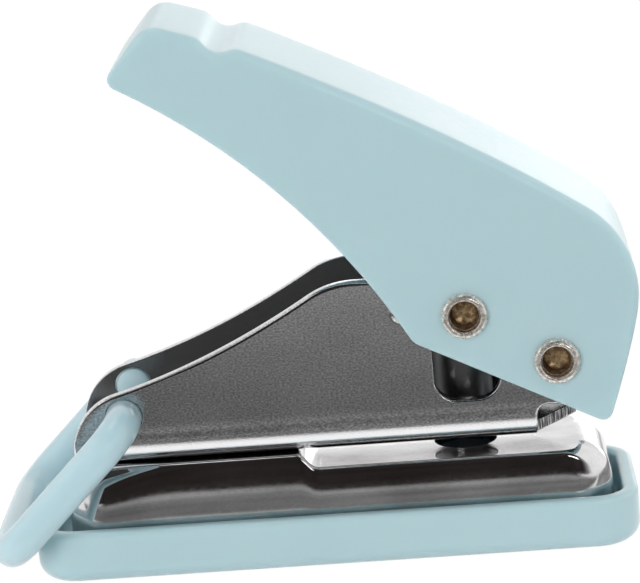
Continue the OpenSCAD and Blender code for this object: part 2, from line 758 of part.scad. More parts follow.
// Round punch with a cross slot for the drive rivet and a hollow across its cutting end
module punch() {
    tip_z = web_z + punch_lift;
    slot_h = rivet_d + 2 * drive_play;
    top_z = drive_z + slot_h / 2 + punch_cap;
    sway = (drive_r - drive_reach) / 2;
    r = punch_d / 2;
    hollow_r = (r * r + punch_hollow * punch_hollow) / (2 * punch_hollow);
    color(dark_steel)
    difference() {
        translate([punch_x, 0, tip_z])
            cylinder(r = r, h = top_z - tip_z);
        for (s = [-1, 1])
            bar_y(punch_x + s * sway, drive_z, slot_h, -punch_d, punch_d);
        translate([punch_x - sway, -punch_d, drive_z - slot_h / 2])
            cube([2 * sway, 2 * punch_d, slot_h]);
        bar_y(punch_x, tip_z - hollow_r + punch_hollow, 2 * hollow_r, -punch_d, punch_d);
    }
}

// Torsion spring round the pivot rivet. Its lower leg stands on the web
// and its upper leg lifts the drive rivet, one at each side of the punch.
coil_r = (rivet_d + wire_d) / 2 + coil_gap;
leg_y = (punch_d / 2 + frame_in_w / 2) / 2;
lift_r = (rivet_d + wire_d) / 2 + leg_clear;
// Slope of the upper leg, which touches the coil's top and passes under the drive rivet
leg_slope = acos((coil_r + lift_r) / drive_r) - atan2(drive_reach, drive_rise);
lower_end = [pivot_x - lower_leg_reach, web_top_z + wire_d / 2 + leg_clear];
lower_run = lower_end - [pivot_x, pivot_z];
lower_turn = atan2(lower_run.y, lower_run.x) + acos(coil_r / norm(lower_run)) + 360;
upper_turn = 90 - leg_slope + 360 * (coil_turns + 1);
coil_rings = ceil(coil_steps * (upper_turn - lower_turn) / 360);
function coil_point(t) =
    let (a = lower_turn + (upper_turn - lower_turn) * t)
    [pivot_x + coil_r * cos(a), leg_y * (2 * t - 1), pivot_z + coil_r * sin(a)];
upper_reach = sqrt(drive_r * drive_r - pow(coil_r + lift_r, 2)) + leg_past;
spring_path = concat(
    [[lower_end.x, -leg_y, lower_end.y]],
    [for (i = [0:coil_rings]) coil_point(i / coil_rings)],
    [coil_point(1) + upper_reach * [-cos(leg_slope), 0, sin(leg_slope)]]);

// Tube of diameter d along a path that never runs along Y
module wire(path, d, sides) {
    n = len(path);
    points = [for (i = [0:n - 1])
        let (t = unit(path[min(i + 1, n - 1)] - path[max(i - 1, 0)]))
        let (u = unit(cross(t, [0, 1, 0])), v = cross(t, u))
        for (k = [0:sides - 1])
            let (a = 360 * k / sides)
            path[i] + d / 2 * (cos(a) * u + sin(a) * v)];
    walls = [for (i = [0:n - 2], k = [0:sides - 1])
        let (a = i * sides + k, b = i * sides + (k + 1) % sides)
        each [[a, b + sides, b], [a, a + sides, b + sides]]];
    first = [for (k = [0:sides - 1]) k];
    last = [for (k = [sides - 1:-1:0]) (n - 1) * sides + k];
    polyhedron(points, concat([first], walls, [last]));
}

// Least gap between points of the wire that lie half a turn or more apart along it
apart = coil_steps / 2 + 1;
spring_gap = min([for (i = [0:len(spring_path) - 1], j = [i + apart:1:len(spring_path) - 1])
    norm(spring_path[i] - spring_path[j])]) - wire_d;
echo(spring_gap = spring_gap);

module return_spring() {
    color(dark_steel)
        wire(spring_path, wire_d, wire_sides);
}

// Quarter bend of the ring's rod
module ring_bend(x, y, r, turn) {
    translate([x, y, 0])
        rotate(turn)
        rotate_extrude(angle = 90)
        translate([r, 0])
        circle(d = ring_d);
}

// Rod bent into a square loop with its two ends turned in through the frame's ears
module lock_ring() {
    elbow_y = ring_arm_y - ring_elbow_r;
    corner_y = ring_arm_y - ring_corner_r;
    corner_x = ring_l - ring_corner_r;
    pin_y = frame_in_w / 2 - ring_pin_in;
    color(ring_blue)
    translate([ear_x, 0, ear_z])
    rotate([0, -ring_drop, 0]) {
        bar_y(-ring_l, 0, ring_d, -corner_y, corner_y);
        for (s = [0, 1])
            mirror([0, s, 0]) {
                bar_y(0, 0, ring_d, -elbow_y, -pin_y);
                ring_bend(-ring_elbow_r, -elbow_y, ring_elbow_r, -90);
                translate([-corner_x, -ring_arm_y, 0])
                    rotate([0, 90, 0])
                    cylinder(d = ring_d, h = corner_x - ring_elbow_r);
                ring_bend(-corner_x, -corner_y, ring_corner_r, 180);
            }
    }
}

chip_tray();
base_plate();
upper_frame();
front_frame_rivet();
rear_frame_rivet();
lever();
pivot_rivet();
drive_rivet();
punch();
return_spring();
lock_ring();
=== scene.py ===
# %% [markdown]
# # A pocket punch for single holes
# The real object is a small desk tool. A plastic tray catches the paper chips, two pressed steel
# pieces make the throat, a moulded lever drives the punch, and a plastic ring swings up over the
# lever's nose to hold it down. The frame holds every piece in its place, in metres, so this
# lesson dresses it: each piece becomes a smooth surface worked out with numpy, in its own finish.

import bmesh
import bpy
import numpy as np
from mathutils import Matrix, Vector, geometry


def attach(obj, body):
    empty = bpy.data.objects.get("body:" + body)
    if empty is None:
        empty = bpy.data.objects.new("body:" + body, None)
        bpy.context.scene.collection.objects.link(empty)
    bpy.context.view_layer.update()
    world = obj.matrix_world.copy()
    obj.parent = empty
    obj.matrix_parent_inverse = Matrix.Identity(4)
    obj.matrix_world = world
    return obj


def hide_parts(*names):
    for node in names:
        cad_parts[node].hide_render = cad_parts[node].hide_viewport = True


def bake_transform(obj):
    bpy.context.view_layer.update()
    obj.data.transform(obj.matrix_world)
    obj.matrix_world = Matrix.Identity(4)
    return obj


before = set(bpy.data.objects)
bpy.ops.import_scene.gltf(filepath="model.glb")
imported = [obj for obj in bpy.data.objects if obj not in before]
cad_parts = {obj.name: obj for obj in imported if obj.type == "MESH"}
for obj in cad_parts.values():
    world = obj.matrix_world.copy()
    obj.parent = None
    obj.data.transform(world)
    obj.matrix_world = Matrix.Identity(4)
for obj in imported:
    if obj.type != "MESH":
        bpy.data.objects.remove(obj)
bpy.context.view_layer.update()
scene = bpy.context.scene
MM = 0.001
print("nodes in the frame:", sorted(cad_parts))

# %% [markdown]
# ## Camera
# The photograph looks at the near side from a little above, through a long lens. A camera could be
# turned by hand until it looks right. Here its yaw, pitch, roll and distance were fitted to points
# on the tray and lever, so the three axes are worked out and set as one matrix.

# %% Camera
lens_in_pixels, image_width, sensor_width = 2889.0, 640.0, 36.0
yaw, pitch, roll = np.radians([-2.77, 14.48, 4.77])
aim, distance = np.array([-0.01, 0.0, 25.29]) * MM, 279.3 * MM
ahead = np.array([np.sin(yaw) * np.cos(pitch), np.cos(yaw) * np.cos(pitch), -np.sin(pitch)])
level = np.array([np.cos(yaw), -np.sin(yaw), 0.0])
down = np.cross(ahead, level)
across = np.cos(roll) * level + np.sin(roll) * down
upward = np.sin(roll) * level - np.cos(roll) * down
place = np.eye(4)
place[:3] = np.column_stack([across, upward, -ahead, aim - distance * ahead])
camera = bpy.data.objects.new("photo_camera", bpy.data.cameras.new("photo_camera"))
camera.data.sensor_width = sensor_width
camera.data.lens = lens_in_pixels / image_width * sensor_width
camera.data.clip_start = 0.01
camera.matrix_world = Matrix(place.tolist())
scene.collection.objects.link(camera)
scene.camera = camera
scene.view_settings.view_transform = "Standard"
print("lens", round(camera.data.lens, 1), "mm, eye at", (place[:3, 3] / MM).round(1), "mm")

# %% [markdown]
# ## Floor and light
# A studio shot of bright metal is made by what the metal sees. The floor and the sky are white.
# A wide soft lamp hangs overhead, one stands to the right and one by the camera. Cards that only
# reflections see stand round the punch. Four are grey or dark, on the floor, in front and overhead:
# without them the steel would mirror a white room and its shape would be lost. Two are bright: a
# strip in front gives the glints, and a low one behind is what the lever's top mirrors. Where a
# card's border would show as a hard edge in the metal, it fades to white.

# %% White floor
def feed(tree, node, sockets):
    """Sets each named socket of a node to a value, or links it where a socket is given instead."""
    for key, value in sockets.items():
        if isinstance(value, bpy.types.NodeSocket):
            tree.links.new(value, node.inputs[key])
        else:
            node.inputs[key].default_value = value


def add_node(tree, kind, sockets=None, **settings):
    """One node of a kind with its settings, and with its sockets fed."""
    node = tree.nodes.new(kind)
    for key, value in settings.items():
        setattr(node, key, value)
    feed(tree, node, sockets or {})
    return node


def maths(tree, operation, first, second):
    """Socket of an operation on two numbers or sockets."""
    return add_node(tree, "ShaderNodeMath", {0: first, 1: second}, operation=operation).outputs[0]


def start_finish(name):
    """A new node material, its tree, its shader and a socket of Object coordinates in metres."""
    finish = bpy.data.materials.new(name)
    finish.use_nodes = True
    tree = finish.node_tree
    spot = add_node(tree, "ShaderNodeTexCoord").outputs["Object"]
    return finish, tree, tree.nodes["Principled BSDF"], spot


def mix_seen(tree, light, seen, share):
    """Light as lit, and for the rays from the camera, from gloss and through clear things a share of
    the plain white shader."""
    ray = add_node(tree, "ShaderNodeLightPath").outputs
    direct = maths(tree, "MAXIMUM", ray["Is Camera Ray"], ray["Is Glossy Ray"])
    weight = maths(tree, "MULTIPLY", maths(tree, "MAXIMUM", direct, ray["Is Transmission Ray"]), share)
    return add_node(tree, "ShaderNodeMixShader",
                    {0: weight, 1: light.outputs[0], 2: seen.outputs[0]}).outputs[0]


def rectangle(x, y, z):
    """Corners of a rectangle over the range x and over the range y or z, the other being one place."""
    (y0, y1), (z0, z1) = np.broadcast_to(y, 2), np.broadcast_to(z, 2)
    return [(x[0], y0, z0), (x[1], y0, z0), (x[1], y1, z1), (x[0], y1, z1)]


def four_corners(name, corners, finish):
    """A flat sheet of the stage through four corners, in mm."""
    mesh = bpy.data.meshes.new(name)
    mesh.from_pydata((np.array(corners) * MM).tolist(), [], [(0, 1, 2, 3)])
    mesh.materials.append(finish)
    stage_sheet = bpy.data.objects.new(name, mesh)
    scene.collection.objects.link(stage_sheet)
    return stage_sheet


floor_grey, floor_glow, glow_share, floor_span = 0.92, 1.03, 0.95, (-2000, 2000)
floor_paint, tree, shader, _ = start_finish("white_floor")
tree.nodes.remove(shader)
matt = add_node(tree, "ShaderNodeBsdfDiffuse", {"Color": (floor_grey, floor_grey, floor_grey, 1)})
glow = add_node(tree, "ShaderNodeEmission", {"Strength": floor_glow})
feed(tree, tree.nodes["Material Output"], {"Surface": mix_seen(tree, matt, glow, glow_share)})
floor = four_corners("floor", rectangle(floor_span, floor_span, -0.05), floor_paint)
print("floor is", np.array(floor.dimensions[:2]).round(1), "m wide")

# %% White sky
sky_light, white_rgba = 0.42, (1, 1, 1, 1)
sky = bpy.data.worlds.new("white_sky")
sky.use_nodes = True
tree = sky.node_tree
dim = tree.nodes["Background"]
feed(tree, dim, {"Color": white_rgba, "Strength": sky_light})
bright = add_node(tree, "ShaderNodeBackground", {"Color": white_rgba, "Strength": 1.0})
feed(tree, tree.nodes["World Output"], {"Surface": mix_seen(tree, dim, bright, 1.0)})
scene.world = sky
print("sky lights at", sky_light, "and looks white")

# %% Cards
def noise(tree, spot, size, detail=2.0, stretch=(1, 1, 1)):
    """Socket of a noise whose lumps are about size mm across, longer along a stretched axis."""
    lay = add_node(tree, "ShaderNodeMapping",
                   {"Vector": spot, "Scale": [1 / (s * size * MM) for s in stretch]})
    return add_node(tree, "ShaderNodeTexNoise",
                    {"Vector": lay.outputs[0], "Scale": 1.0, "Detail": detail}).outputs["Fac"]


def between(tree, fac, low, high, start=0.3, stop=0.7, **settings):
    """Socket that runs from low to high while fac runs from start to stop."""
    span = {"Value": fac, "From Min": start, "From Max": stop, "To Min": low, "To Max": high}
    return add_node(tree, "ShaderNodeMapRange", span, **settings).outputs["Result"]


def tint(tree, fac, first, second):
    """Socket of a colour that runs from first to second with fac."""
    ramp = add_node(tree, "ShaderNodeValToRGB", {"Fac": fac})
    for stop, colour in zip(ramp.color_ramp.elements, (first, second)):
        stop.color = (*colour, 1)
    return ramp.outputs["Color"]


def blend_colour(tree, fac, first, second):
    """Socket of the first colour where fac is 0 and of the second where it is 1."""
    return add_node(tree, "ShaderNodeMix", {0: fac, 6: first, 7: second}, data_type="RGBA").outputs[2]


def grey_card(name, corners, shade, fades=()):
    """A card through four corners, in mm, that only reflections see. Its shade drifts a little, and
    along each fade it turns into another: (axis, place in mm where that begins, place where it ends,
    shade)."""
    finish, tree, shader, place = start_finish(name)
    tree.nodes.remove(shader)
    spot = add_node(tree, "ShaderNodeSeparateXYZ", {0: place}).outputs
    drift = between(tree, noise(tree, place, 22.0, 2.0, (2, 1, 1)), 0, 1)
    colour = tint(tree, drift, np.array(shade) * 0.7, np.array(shade) * 1.3)
    for axis, begin, end, other in fades:
        part = between(tree, spot[axis], 0, 1, begin * MM, end * MM, interpolation_type="SMOOTHSTEP")
        colour = blend_colour(tree, part, colour, (*other, 1))
    glow = add_node(tree, "ShaderNodeEmission", {"Color": colour, "Strength": 1.0})
    feed(tree, tree.nodes["Material Output"], {"Surface": glow.outputs[0]})
    card = four_corners(name, corners, finish)
    card.visible_camera = card.visible_diffuse = card.visible_shadow = False
    card.visible_transmission = False


grey, dark, white = (0.19, 0.19, 0.19), (0.025, 0.021, 0.020), (1.0, 1.0, 1.0)
pale, mid, dusk = (0.33, 0.33, 0.33), (0.3, 0.3, 0.3), (0.05, 0.05, 0.05)
strip_light, back_light = (6.0, 6.0, 6.0), (1.9, 1.9, 1.9)
grey_card("low_card", rectangle((-220, 220), (-470, -20), 0.4), grey,
          [("Y", -75, -115, pale), ("Y", -130, -320, dark), ("Y", -32, -22, white),
           ("X", -90, -200, white), ("X", 90, 200, white)])
grey_card("front_card", rectangle((-1200, 1200), -470, (0, 680)), dark,
          [("X", -350, -1100, white), ("X", 350, 1100, white)])
grey_card("side_card", rectangle((34, 240), (-20, 140), 0.4), mid,
          [("X", 48, 36, white), ("X", 120, 230, white), ("Y", 40, 130, white)])
grey_card("ceiling_card", rectangle((-640, 640), (-470, 420), 680), dusk,
          [("Y", 160, 400, white), ("X", -300, -620, white), ("X", 300, 620, white)])
grey_card("strip_card", rectangle((105, 330), -465, (140, 200)), strip_light)
grey_card("back_card", rectangle((-60, 330), 400, (5, 130)), back_light,
          [("Z", 112, 130, white)])

# %% Lamps
lamp_aim = Vector((0, 0, 25))


def soft_lamp(name, spot, size, power, mirrored=True):
    """A square lamp at a spot, in mm, that faces the middle of the punch."""
    lamp = bpy.data.lights.new(name, "AREA")
    lamp.shape, lamp.size, lamp.energy = "SQUARE", size * MM, power
    holder = bpy.data.objects.new(name, lamp)
    holder.location = Vector(spot) * MM
    holder.rotation_euler = (lamp_aim - Vector(spot)).to_track_quat("-Z", "Y").to_euler()
    holder.visible_glossy = mirrored
    scene.collection.objects.link(holder)
    print(name, "gives", power, "W")


soft_lamp("overhead_lamp", (-60, 60, 620), 260, 0.45)
soft_lamp("right_lamp", (430, 60, 240), 340, 0.9, mirrored=False)
soft_lamp("camera_lamp", (-330, -560, 200), 320, 1.98, mirrored=False)

# %% [markdown]
# ## Moulded plastic
# The tray and the lever are the same pale blue plastic with a fine satin skin from the mould, and
# the ring is a shade paler and glossier. One flat colour would look like paper, so noises at their
# real scale vary the colour a little, break up the gloss and lift the surface by a few thousandths
# of a millimetre. A little light scatters under the skin, as it does in polypropylene-like plastics.

# %% Plastic finish
def lift(tree, shader, heights):
    """Bumps on the shader: each height is (socket, depth in mm, strength), laid over the last."""
    under = {}
    for height, depth, strength in heights:
        bump = add_node(tree, "ShaderNodeBump",
                        {"Height": height, "Distance": depth * MM, "Strength": strength, **under})
        under = {"Normal": bump.outputs["Normal"]}
    feed(tree, shader, under)


def plastic_finish(name, first, second, scatter, gloss):
    """Satin plastic whose colour drifts between two close shades, with a share of light that scatters
    under the skin and the roughness gloss on it."""
    finish, tree, shader, spot = start_finish(name)
    feed(tree, shader, {"Base Color": tint(tree, noise(tree, spot, 6.0, 3.0), first, second),
                        "Roughness": between(tree, noise(tree, spot, 0.9), 0.36, 0.46),
                        "Coat Weight": 0.8, "Coat Roughness": gloss, "Subsurface Weight": scatter,
                        "Subsurface Radius": (0.6, 1.0, 1.1), "Subsurface Scale": 1.8 * MM})
    lift(tree, shader, [(noise(tree, spot, 3.0), 0.02, 0.25), (noise(tree, spot, 0.12), 0.004, 0.3)])
    return finish


blue_plastic = plastic_finish("pale_blue_plastic", (0.46, 0.655, 0.70), (0.49, 0.68, 0.72), 0.35, 0.3)
ring_plastic = plastic_finish("ring_plastic", (0.50, 0.69, 0.75), (0.53, 0.72, 0.78), 0.4, 0.14)
print("plastic finishes:", blue_plastic.name, ring_plastic.name)

# %% [markdown]
# ## Grids and pieces
# Every piece below is a grid of points, or a few grids that meet. A helper numbers the grid's
# faces and another joins the grids into one mesh, welds their seams and hands the mesh to its
# body, so that the piece moves as the solid it stands for.

# %% Grids and pieces
def with_faces(grid, close_rows=False, close_columns=False):
    """A grid of points and the corner numbers of its four-sided faces; a closed way joins its last
    line to its first."""
    n = np.arange(grid.shape[0] * grid.shape[1]).reshape(grid.shape[:2])
    n = np.vstack([n, n[:1]]) if close_rows else n
    n = np.hstack([n, n[:, :1]]) if close_columns else n
    return grid, np.stack([n[:-1, :-1], n[1:, :-1], n[1:, 1:], n[:-1, 1:]], -1).reshape(-1, 4)


def weld(mesh):
    """Merges the points where patches meet, drops what has no size and turns all faces one way."""
    work = bmesh.new()
    work.from_mesh(mesh)
    bmesh.ops.remove_doubles(work, verts=work.verts, dist=2e-6)
    bmesh.ops.dissolve_degenerate(work, edges=work.edges, dist=1e-7)
    bmesh.ops.recalc_face_normals(work, faces=work.faces)
    work.to_mesh(mesh)
    work.free()


def outward(mesh):
    """Turns the faces round where they look towards the middle of the mesh on the whole."""
    centre = np.empty(len(mesh.polygons) * 3)
    normal, area = centre.copy(), np.empty(len(mesh.polygons))
    mesh.polygons.foreach_get("center", centre)
    mesh.polygons.foreach_get("normal", normal)
    mesh.polygons.foreach_get("area", area)
    centre, normal = centre.reshape(-1, 3), normal.reshape(-1, 3)
    middle = np.average(centre, axis=0, weights=area)
    if (((centre - middle) * normal).sum(1) * area).sum() < 0:
        mesh.flip_normals()


def sharp_rims(mesh):
    """Marks the edges that have only one face as sharp too, and counts them."""
    used, sharp = np.empty(len(mesh.loops), int), np.empty(len(mesh.edges), bool)
    mesh.loops.foreach_get("edge_index", used)
    mesh.edges.foreach_get("use_edge_sharp", sharp)
    rim = np.bincount(used, minlength=len(sharp)) == 1
    mesh.edges.foreach_set("use_edge_sharp", sharp | rim)
    return rim.sum()


def make_piece(name, patches, finish, body, node, crease=35, marks=None):
    """One mesh from patches of (points in mm, faces), welded where they meet, riding on a body.
    marks gives, for each attribute's name, one array of its values for each patch."""
    counts = np.cumsum([0] + [p.reshape(-1, 3).shape[0] for p, _ in patches])
    points = np.vstack([p.reshape(-1, 3) for p, _ in patches]) * MM
    faces = sum([(f + c).tolist() for (_, f), c in zip(patches, counts)], [])
    mesh = bpy.data.meshes.new(name)
    mesh.from_pydata(points.tolist(), [], faces)
    for mark, values in (marks or {}).items():
        layer = mesh.attributes.new(mark, "FLOAT", "POINT")
        layer.data.foreach_set("value", np.concatenate([v.ravel() for v in values]))
    weld(mesh)
    outward(mesh)
    mesh.shade_smooth()
    mesh.set_sharp_from_angle(angle=np.radians(crease))
    open_edges = sharp_rims(mesh)
    mesh.materials.append(finish)
    made = bpy.data.objects.new(name, mesh)
    scene.collection.objects.link(made)
    if body:
        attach(made, body)
    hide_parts(node)
    print(name, "has", len(mesh.polygons), "faces and", open_edges, "open edges")
    return made


# %% [markdown]
# ## Chip tray
# The tray is a shallow moulded box with round corners and a soft rim. It could be a cube with
# bevels, but the wall's own section says more: one profile, from the floor over the rim to the
# underside, is carried round a rectangle with round corners. The middle of the floor is a grid.
# Inside each long wall two low round ribs grip the base plate, so the section swells there.

# %% Profiles and paths
def arc(centre, r, start, stop, n):
    """Points on a circle about a centre from one angle to another, in degrees."""
    a = np.radians(np.linspace(start, stop, n))
    return np.asarray(centre) + r * np.stack([np.cos(a), np.sin(a)], 1)


def circle(centre, r, n):
    """Points once round a circle, against the clock."""
    return arc(centre, r, 0, 360, n + 1)[:-1]


def round_path(xs, ys, corner_n=14):
    """Stations round a rectangle: the point of the inner rectangle that each belongs to and its
    outward direction. Straight sides use xs and ys, and each corner turns a quarter circle."""
    def side(x, y, way):
        return np.stack(np.broadcast_arrays(x, y, *way), 1)

    def turn(x, y, start):
        a = np.radians(np.linspace(start, start + 90, corner_n)[1:-1])
        return np.stack(np.broadcast_arrays(x, y, np.cos(a), np.sin(a)), 1)

    x0, x1, y0, y1 = xs[0], xs[-1], ys[0], ys[-1]
    path = np.vstack([side(x1, ys, (1, 0)), turn(x1, y1, 0), side(xs[::-1], y1, (0, 1)),
                      turn(x0, y1, 90), side(x0, ys[::-1], (-1, 0)), turn(x0, y0, 180),
                      side(xs, y0, (0, -1)), turn(x1, y0, 270)])
    return path[:, :2], path[:, 2:]


def carried(path, profile):
    """Grid of path by profile: corner point + profile's first number times the outward way, at
    the profile's height. A profile of shape (path, profile, 2) may change along the path."""
    inner, way = path
    out = np.broadcast_to(profile, (len(inner), *profile.shape[-2:]))
    flat = inner[:, None] + out[..., :1] * way[:, None]
    return np.concatenate([flat, out[..., 1:]], -1)


def level_grid(xs, ys, z):
    """Grid over xs and ys at one height."""
    x, y = np.meshgrid(xs, ys, indexing="ij")
    return np.stack([x, y, np.full_like(x, z)], -1)


# %% Chip tray
tray_l, tray_w, tray_h, tray_wall, tray_floor, tray_r = 58.5, 17.6, 5.25, 1.5, 1.5, 4.2
rim_r, under_r, hollow_r = 0.5, 1.8, 0.6
rib_x, rib_r, rib_h, rib_top, rib_fade = 16.0, 1.2, 0.3, tray_h - 1.0, 0.3
rib_xs = np.linspace(-1, 1, 15) * rib_r
tray_xs = np.unique(np.concatenate([np.linspace(-1, 1, 40) * (tray_l / 2 - tray_r),
                                    rib_x + rib_xs, rib_xs - rib_x]).round(4))
tray_ys = np.linspace(-1, 1, 12) * (tray_w / 2 - tray_r)
wall_r, rim_z = tray_r - tray_wall, tray_h - rim_r
# A point close to each bend keeps the flat beside it flat when it is shaded.
tray_profile = np.vstack([
    [[0, tray_floor], [wall_r - hollow_r - 0.2, tray_floor]],
    arc((wall_r - hollow_r, tray_floor + hollow_r), hollow_r, -90, 0, 7),
    np.linspace([wall_r, tray_floor + hollow_r + 0.1], [wall_r, rim_z - 0.1], 13),
    arc((wall_r + rim_r, rim_z), rim_r, 180, 90, 8), arc((tray_r - rim_r, rim_z), rim_r, 90, 0, 8),
    [[tray_r, rim_z - 0.2], [tray_r, under_r + 0.2]],
    arc((tray_r - under_r, under_r), under_r, 0, -90, 12),
    [[tray_r - under_r - 0.3, 0], [0, 0]]])
tray_path = round_path(tray_xs, tray_ys)
off = np.abs(tray_path[0][:, :1]) - rib_x
crown = np.sqrt(np.clip(rib_r ** 2 - off ** 2, 0, None)) - (rib_r - rib_h)
inner_wall = (np.abs(tray_profile[:, 0] - wall_r) < 1e-6) & (np.abs(tray_path[1][:, 1:]) > 0.99)
ribs = np.clip(crown, 0, None) * np.clip((rib_top - tray_profile[:, 1]) / rib_fade, 0, 1) * inner_wall
tray_profile = tray_profile - np.stack([ribs, np.zeros_like(ribs)], -1)
make_piece("tray_shell", [with_faces(carried(tray_path, tray_profile), close_rows=True),
                          with_faces(level_grid(tray_xs, tray_ys, tray_floor)),
                          with_faces(level_grid(tray_xs, tray_ys, 0.0))],
           blue_plastic, "tray", "chip_tray")

# %% [markdown]
# ## Flat regions with holes
# The lever's sides, the base plate's top and the frame's sheet are flat regions with holes. One
# many-sided face would shade badly once it is bent, and a boolean leaves slivers. A Delaunay net
# through the outline, the holes and some points between them can be bent as it is.

# %% Filling flat regions
def filled(loops, extra):
    """Triangles over the region inside the first loop and outside the others, through extra points.
    A Delaunay net of all points is parted along the loops. Parts at the net's rim lie outside, and of
    the others those are kept whose largest triangle has an odd number of loop lines to its right."""
    sizes = np.cumsum([0] + [len(p) for p in loops])
    rings = [s + np.stack([np.arange(len(p)), np.roll(np.arange(len(p)), -1)], 1)
             for s, p in zip(sizes, loops)]
    spots = np.vstack([*loops, extra])
    net = geometry.delaunay_2d_cdt([Vector(p) for p in spots], np.vstack(rings).tolist(), [], 0,
                                   0.0, True)
    points, faces = np.array([p[:] for p in net[0]]), np.array(net[2])
    lines = np.sort(np.array(net[1]), 1) @ [len(points), 1]
    lines = lines[[len(origin) > 0 for origin in net[4]]]
    sides = np.sort(np.stack([faces, np.roll(faces, -1, 1)], -1).reshape(-1, 2), 1) @ [len(points), 1]
    order, free = np.argsort(sides), ~np.isin(sides, lines)
    twin = sides[order][1:] == sides[order][:-1]
    one, other = order[:-1][twin & free[order][1:]] // 3, order[1:][twin & free[order][1:]] // 3
    alone = ~np.isin(sides, sides[order][1:][twin]) & free
    part, old = np.arange(len(faces)), None
    while old is None or (part != old).any():
        old = part.copy()
        np.minimum.at(part, one, old[other])
        np.minimum.at(part, other, old[one])
        part = part[part]
    a, b, c = points[faces].transpose(1, 2, 0)
    rank = np.argsort(np.abs((b - a)[0] * (c - a)[1] - (b - a)[1] * (c - a)[0]))
    largest = np.zeros(len(faces), int)
    largest[part[rank]] = rank
    middle = points[faces].mean(1)[:, None]
    a, b = np.vstack(loops), np.vstack([np.roll(p, -1, 0) for p in loops])
    spans = (a[:, 1] > middle[..., 1]) != (b[:, 1] > middle[..., 1])
    slope = (b[:, 0] - a[:, 0]) / np.where(a[:, 1] == b[:, 1], 1, b[:, 1] - a[:, 1])
    right = middle[..., 0] < a[:, 0] + slope * (middle[..., 1] - a[:, 1])
    inner = ((spans & right).sum(1) % 2 == 1)[largest[part]]
    faces = faces[inner & ~np.isin(part, part[np.flatnonzero(alone) // 3])]
    used, faces = np.unique(faces, return_inverse=True)
    return points[used], faces.reshape(-1, 3)


square, no_extra = np.array([[0.0, 0.0], [4.0, 0.0], [4.0, 4.0], [0.0, 4.0]]), np.empty((0, 2))
frame_net = filled([square, square / 2 + 1], no_extra)[1]
print("a square with a square hole takes", len(frame_net), "triangles")

# %% [markdown]
# ## Lever
# The lever is a hollow moulding: a top wall that runs from the heel over the shoulder to the nose,
# and two side walls, open below. A block with a boolean would leave hard edges. Instead a section
# is carried along the outline. Each station joins a point of the upper edge to its partner on the
# lower edge, and the section goes up the near side, over the rounded edge, across the top, down
# the far side and back along the inside.

# %% Lines and corners
def unit(v):
    """The vector, or each row of vectors, at length one."""
    return v / np.linalg.norm(v, axis=-1, keepdims=True)


def left(v):
    """The vector, or each row of vectors, turned a quarter to the left."""
    return np.stack([-v[..., 1], v[..., 0]], -1)


def bow(a, b, c, n):
    """Quadratic curve from a to c, drawn towards b: (1 - t)^2 a + 2 t (1 - t) b + t^2 c."""
    a, b, c = np.array([a, b, c], float)
    t = np.linspace(0, 1, n)[:, None]
    return (1 - t) ** 2 * a + 2 * t * (1 - t) * b + t ** 2 * c


def bowed(a, b, h):
    """Control point of a curve from a to b that stands off to the right of the chord by h."""
    return (a + b) / 2 - 2 * h * left(unit(b - a))


def corner(a, b, c, r, n):
    """Arc of radius r in the corner b between the sides towards a and c."""
    a, b, c = np.array([a, b, c], float)
    u, v = unit(a - b), unit(c - b)
    d = r * np.sqrt((1 + u @ v) / (1 - u @ v))
    m = b + unit(u + v) * np.hypot(d, r)
    p, q = b + d * u - m, b + d * v - m
    w = np.sign(p[0] * q[1] - p[1] * q[0]) * np.arccos(p @ q / r ** 2) * np.linspace(0, 1, n)
    return m + np.stack([p[0] * np.cos(w) - p[1] * np.sin(w), p[0] * np.sin(w) + p[1] * np.cos(w)], 1)


def moved_corner(a, b, c, d, e):
    """Where the line a-b, moved left by d, meets the line b-c, moved left by e."""
    u, v = unit(b - a), unit(c - b)
    p, q = a + d * left(u), b + e * left(v)
    s = ((q[0] - p[0]) * v[1] - (q[1] - p[1]) * v[0]) / (u[0] * v[1] - u[1] * v[0])
    return p + s * u


def lengths(line):
    """Length along a line of points, from its start."""
    return np.concatenate([[0], np.cumsum(np.linalg.norm(np.diff(line, axis=0), axis=1))])


def resample(line, where):
    """Points of a line at given lengths along it."""
    s = lengths(line)
    return np.stack([np.interp(where, s, line[:, k]) for k in range(line.shape[1])], 1)


# %% Lever outline
pivot = np.array([22.1, 19.1])
heel, shoulder = pivot + [4.6, -6.55], pivot + [8.8, 10.9]
nose_low = pivot + [-40.25, 29.5]
nose_top = nose_low + [4.35, 5.15]
knee, groove, groove_r = pivot + [-13.35, 2.65], pivot + [-29.0, 33.35], 1.9
top_end = groove + groove_r * np.array([0.5, -0.7])
rear_bow, top_bow = bowed(heel, shoulder, 0.45), bowed(shoulder, top_end, 0.9)
arch_bow = bowed(nose_low, knee, -2.6)
heel_r, shoulder_r, tip_r, chin_r, knee_r = 0.9, 10.0, 2.4, 1.0, 2.0
heel_arc = corner(knee, heel, rear_bow, heel_r, 16)
back_arc = corner(rear_bow, shoulder, top_bow, shoulder_r, 60)
tip_arc = corner(top_end, nose_top, nose_low, tip_r, 24)
chin_arc = corner(nose_top, nose_low, arch_bow, chin_r, 16)
knee_arc = corner(arch_bow, knee, heel, knee_r, 16)
upper = np.vstack([heel_arc, bow(heel_arc[-1], rear_bow, back_arc[0], 60)[1:-1], back_arc,
                   bow(back_arc[-1], top_bow, top_end, 400)[1:], tip_arc, chin_arc])
lower = np.vstack([heel_arc[:1], knee_arc[::-1],
                   bow(chin_arc[-1], arch_bow, knee_arc[0], 200)[::-1][1:]])
upper = resample(upper, np.arange(0, lengths(upper)[-1], 0.02))
away = np.linalg.norm(upper - groove, axis=1)
dip = away < groove_r
upper[dip] = groove + groove_r * (upper[dip] - groove) / away[dip][:, None]
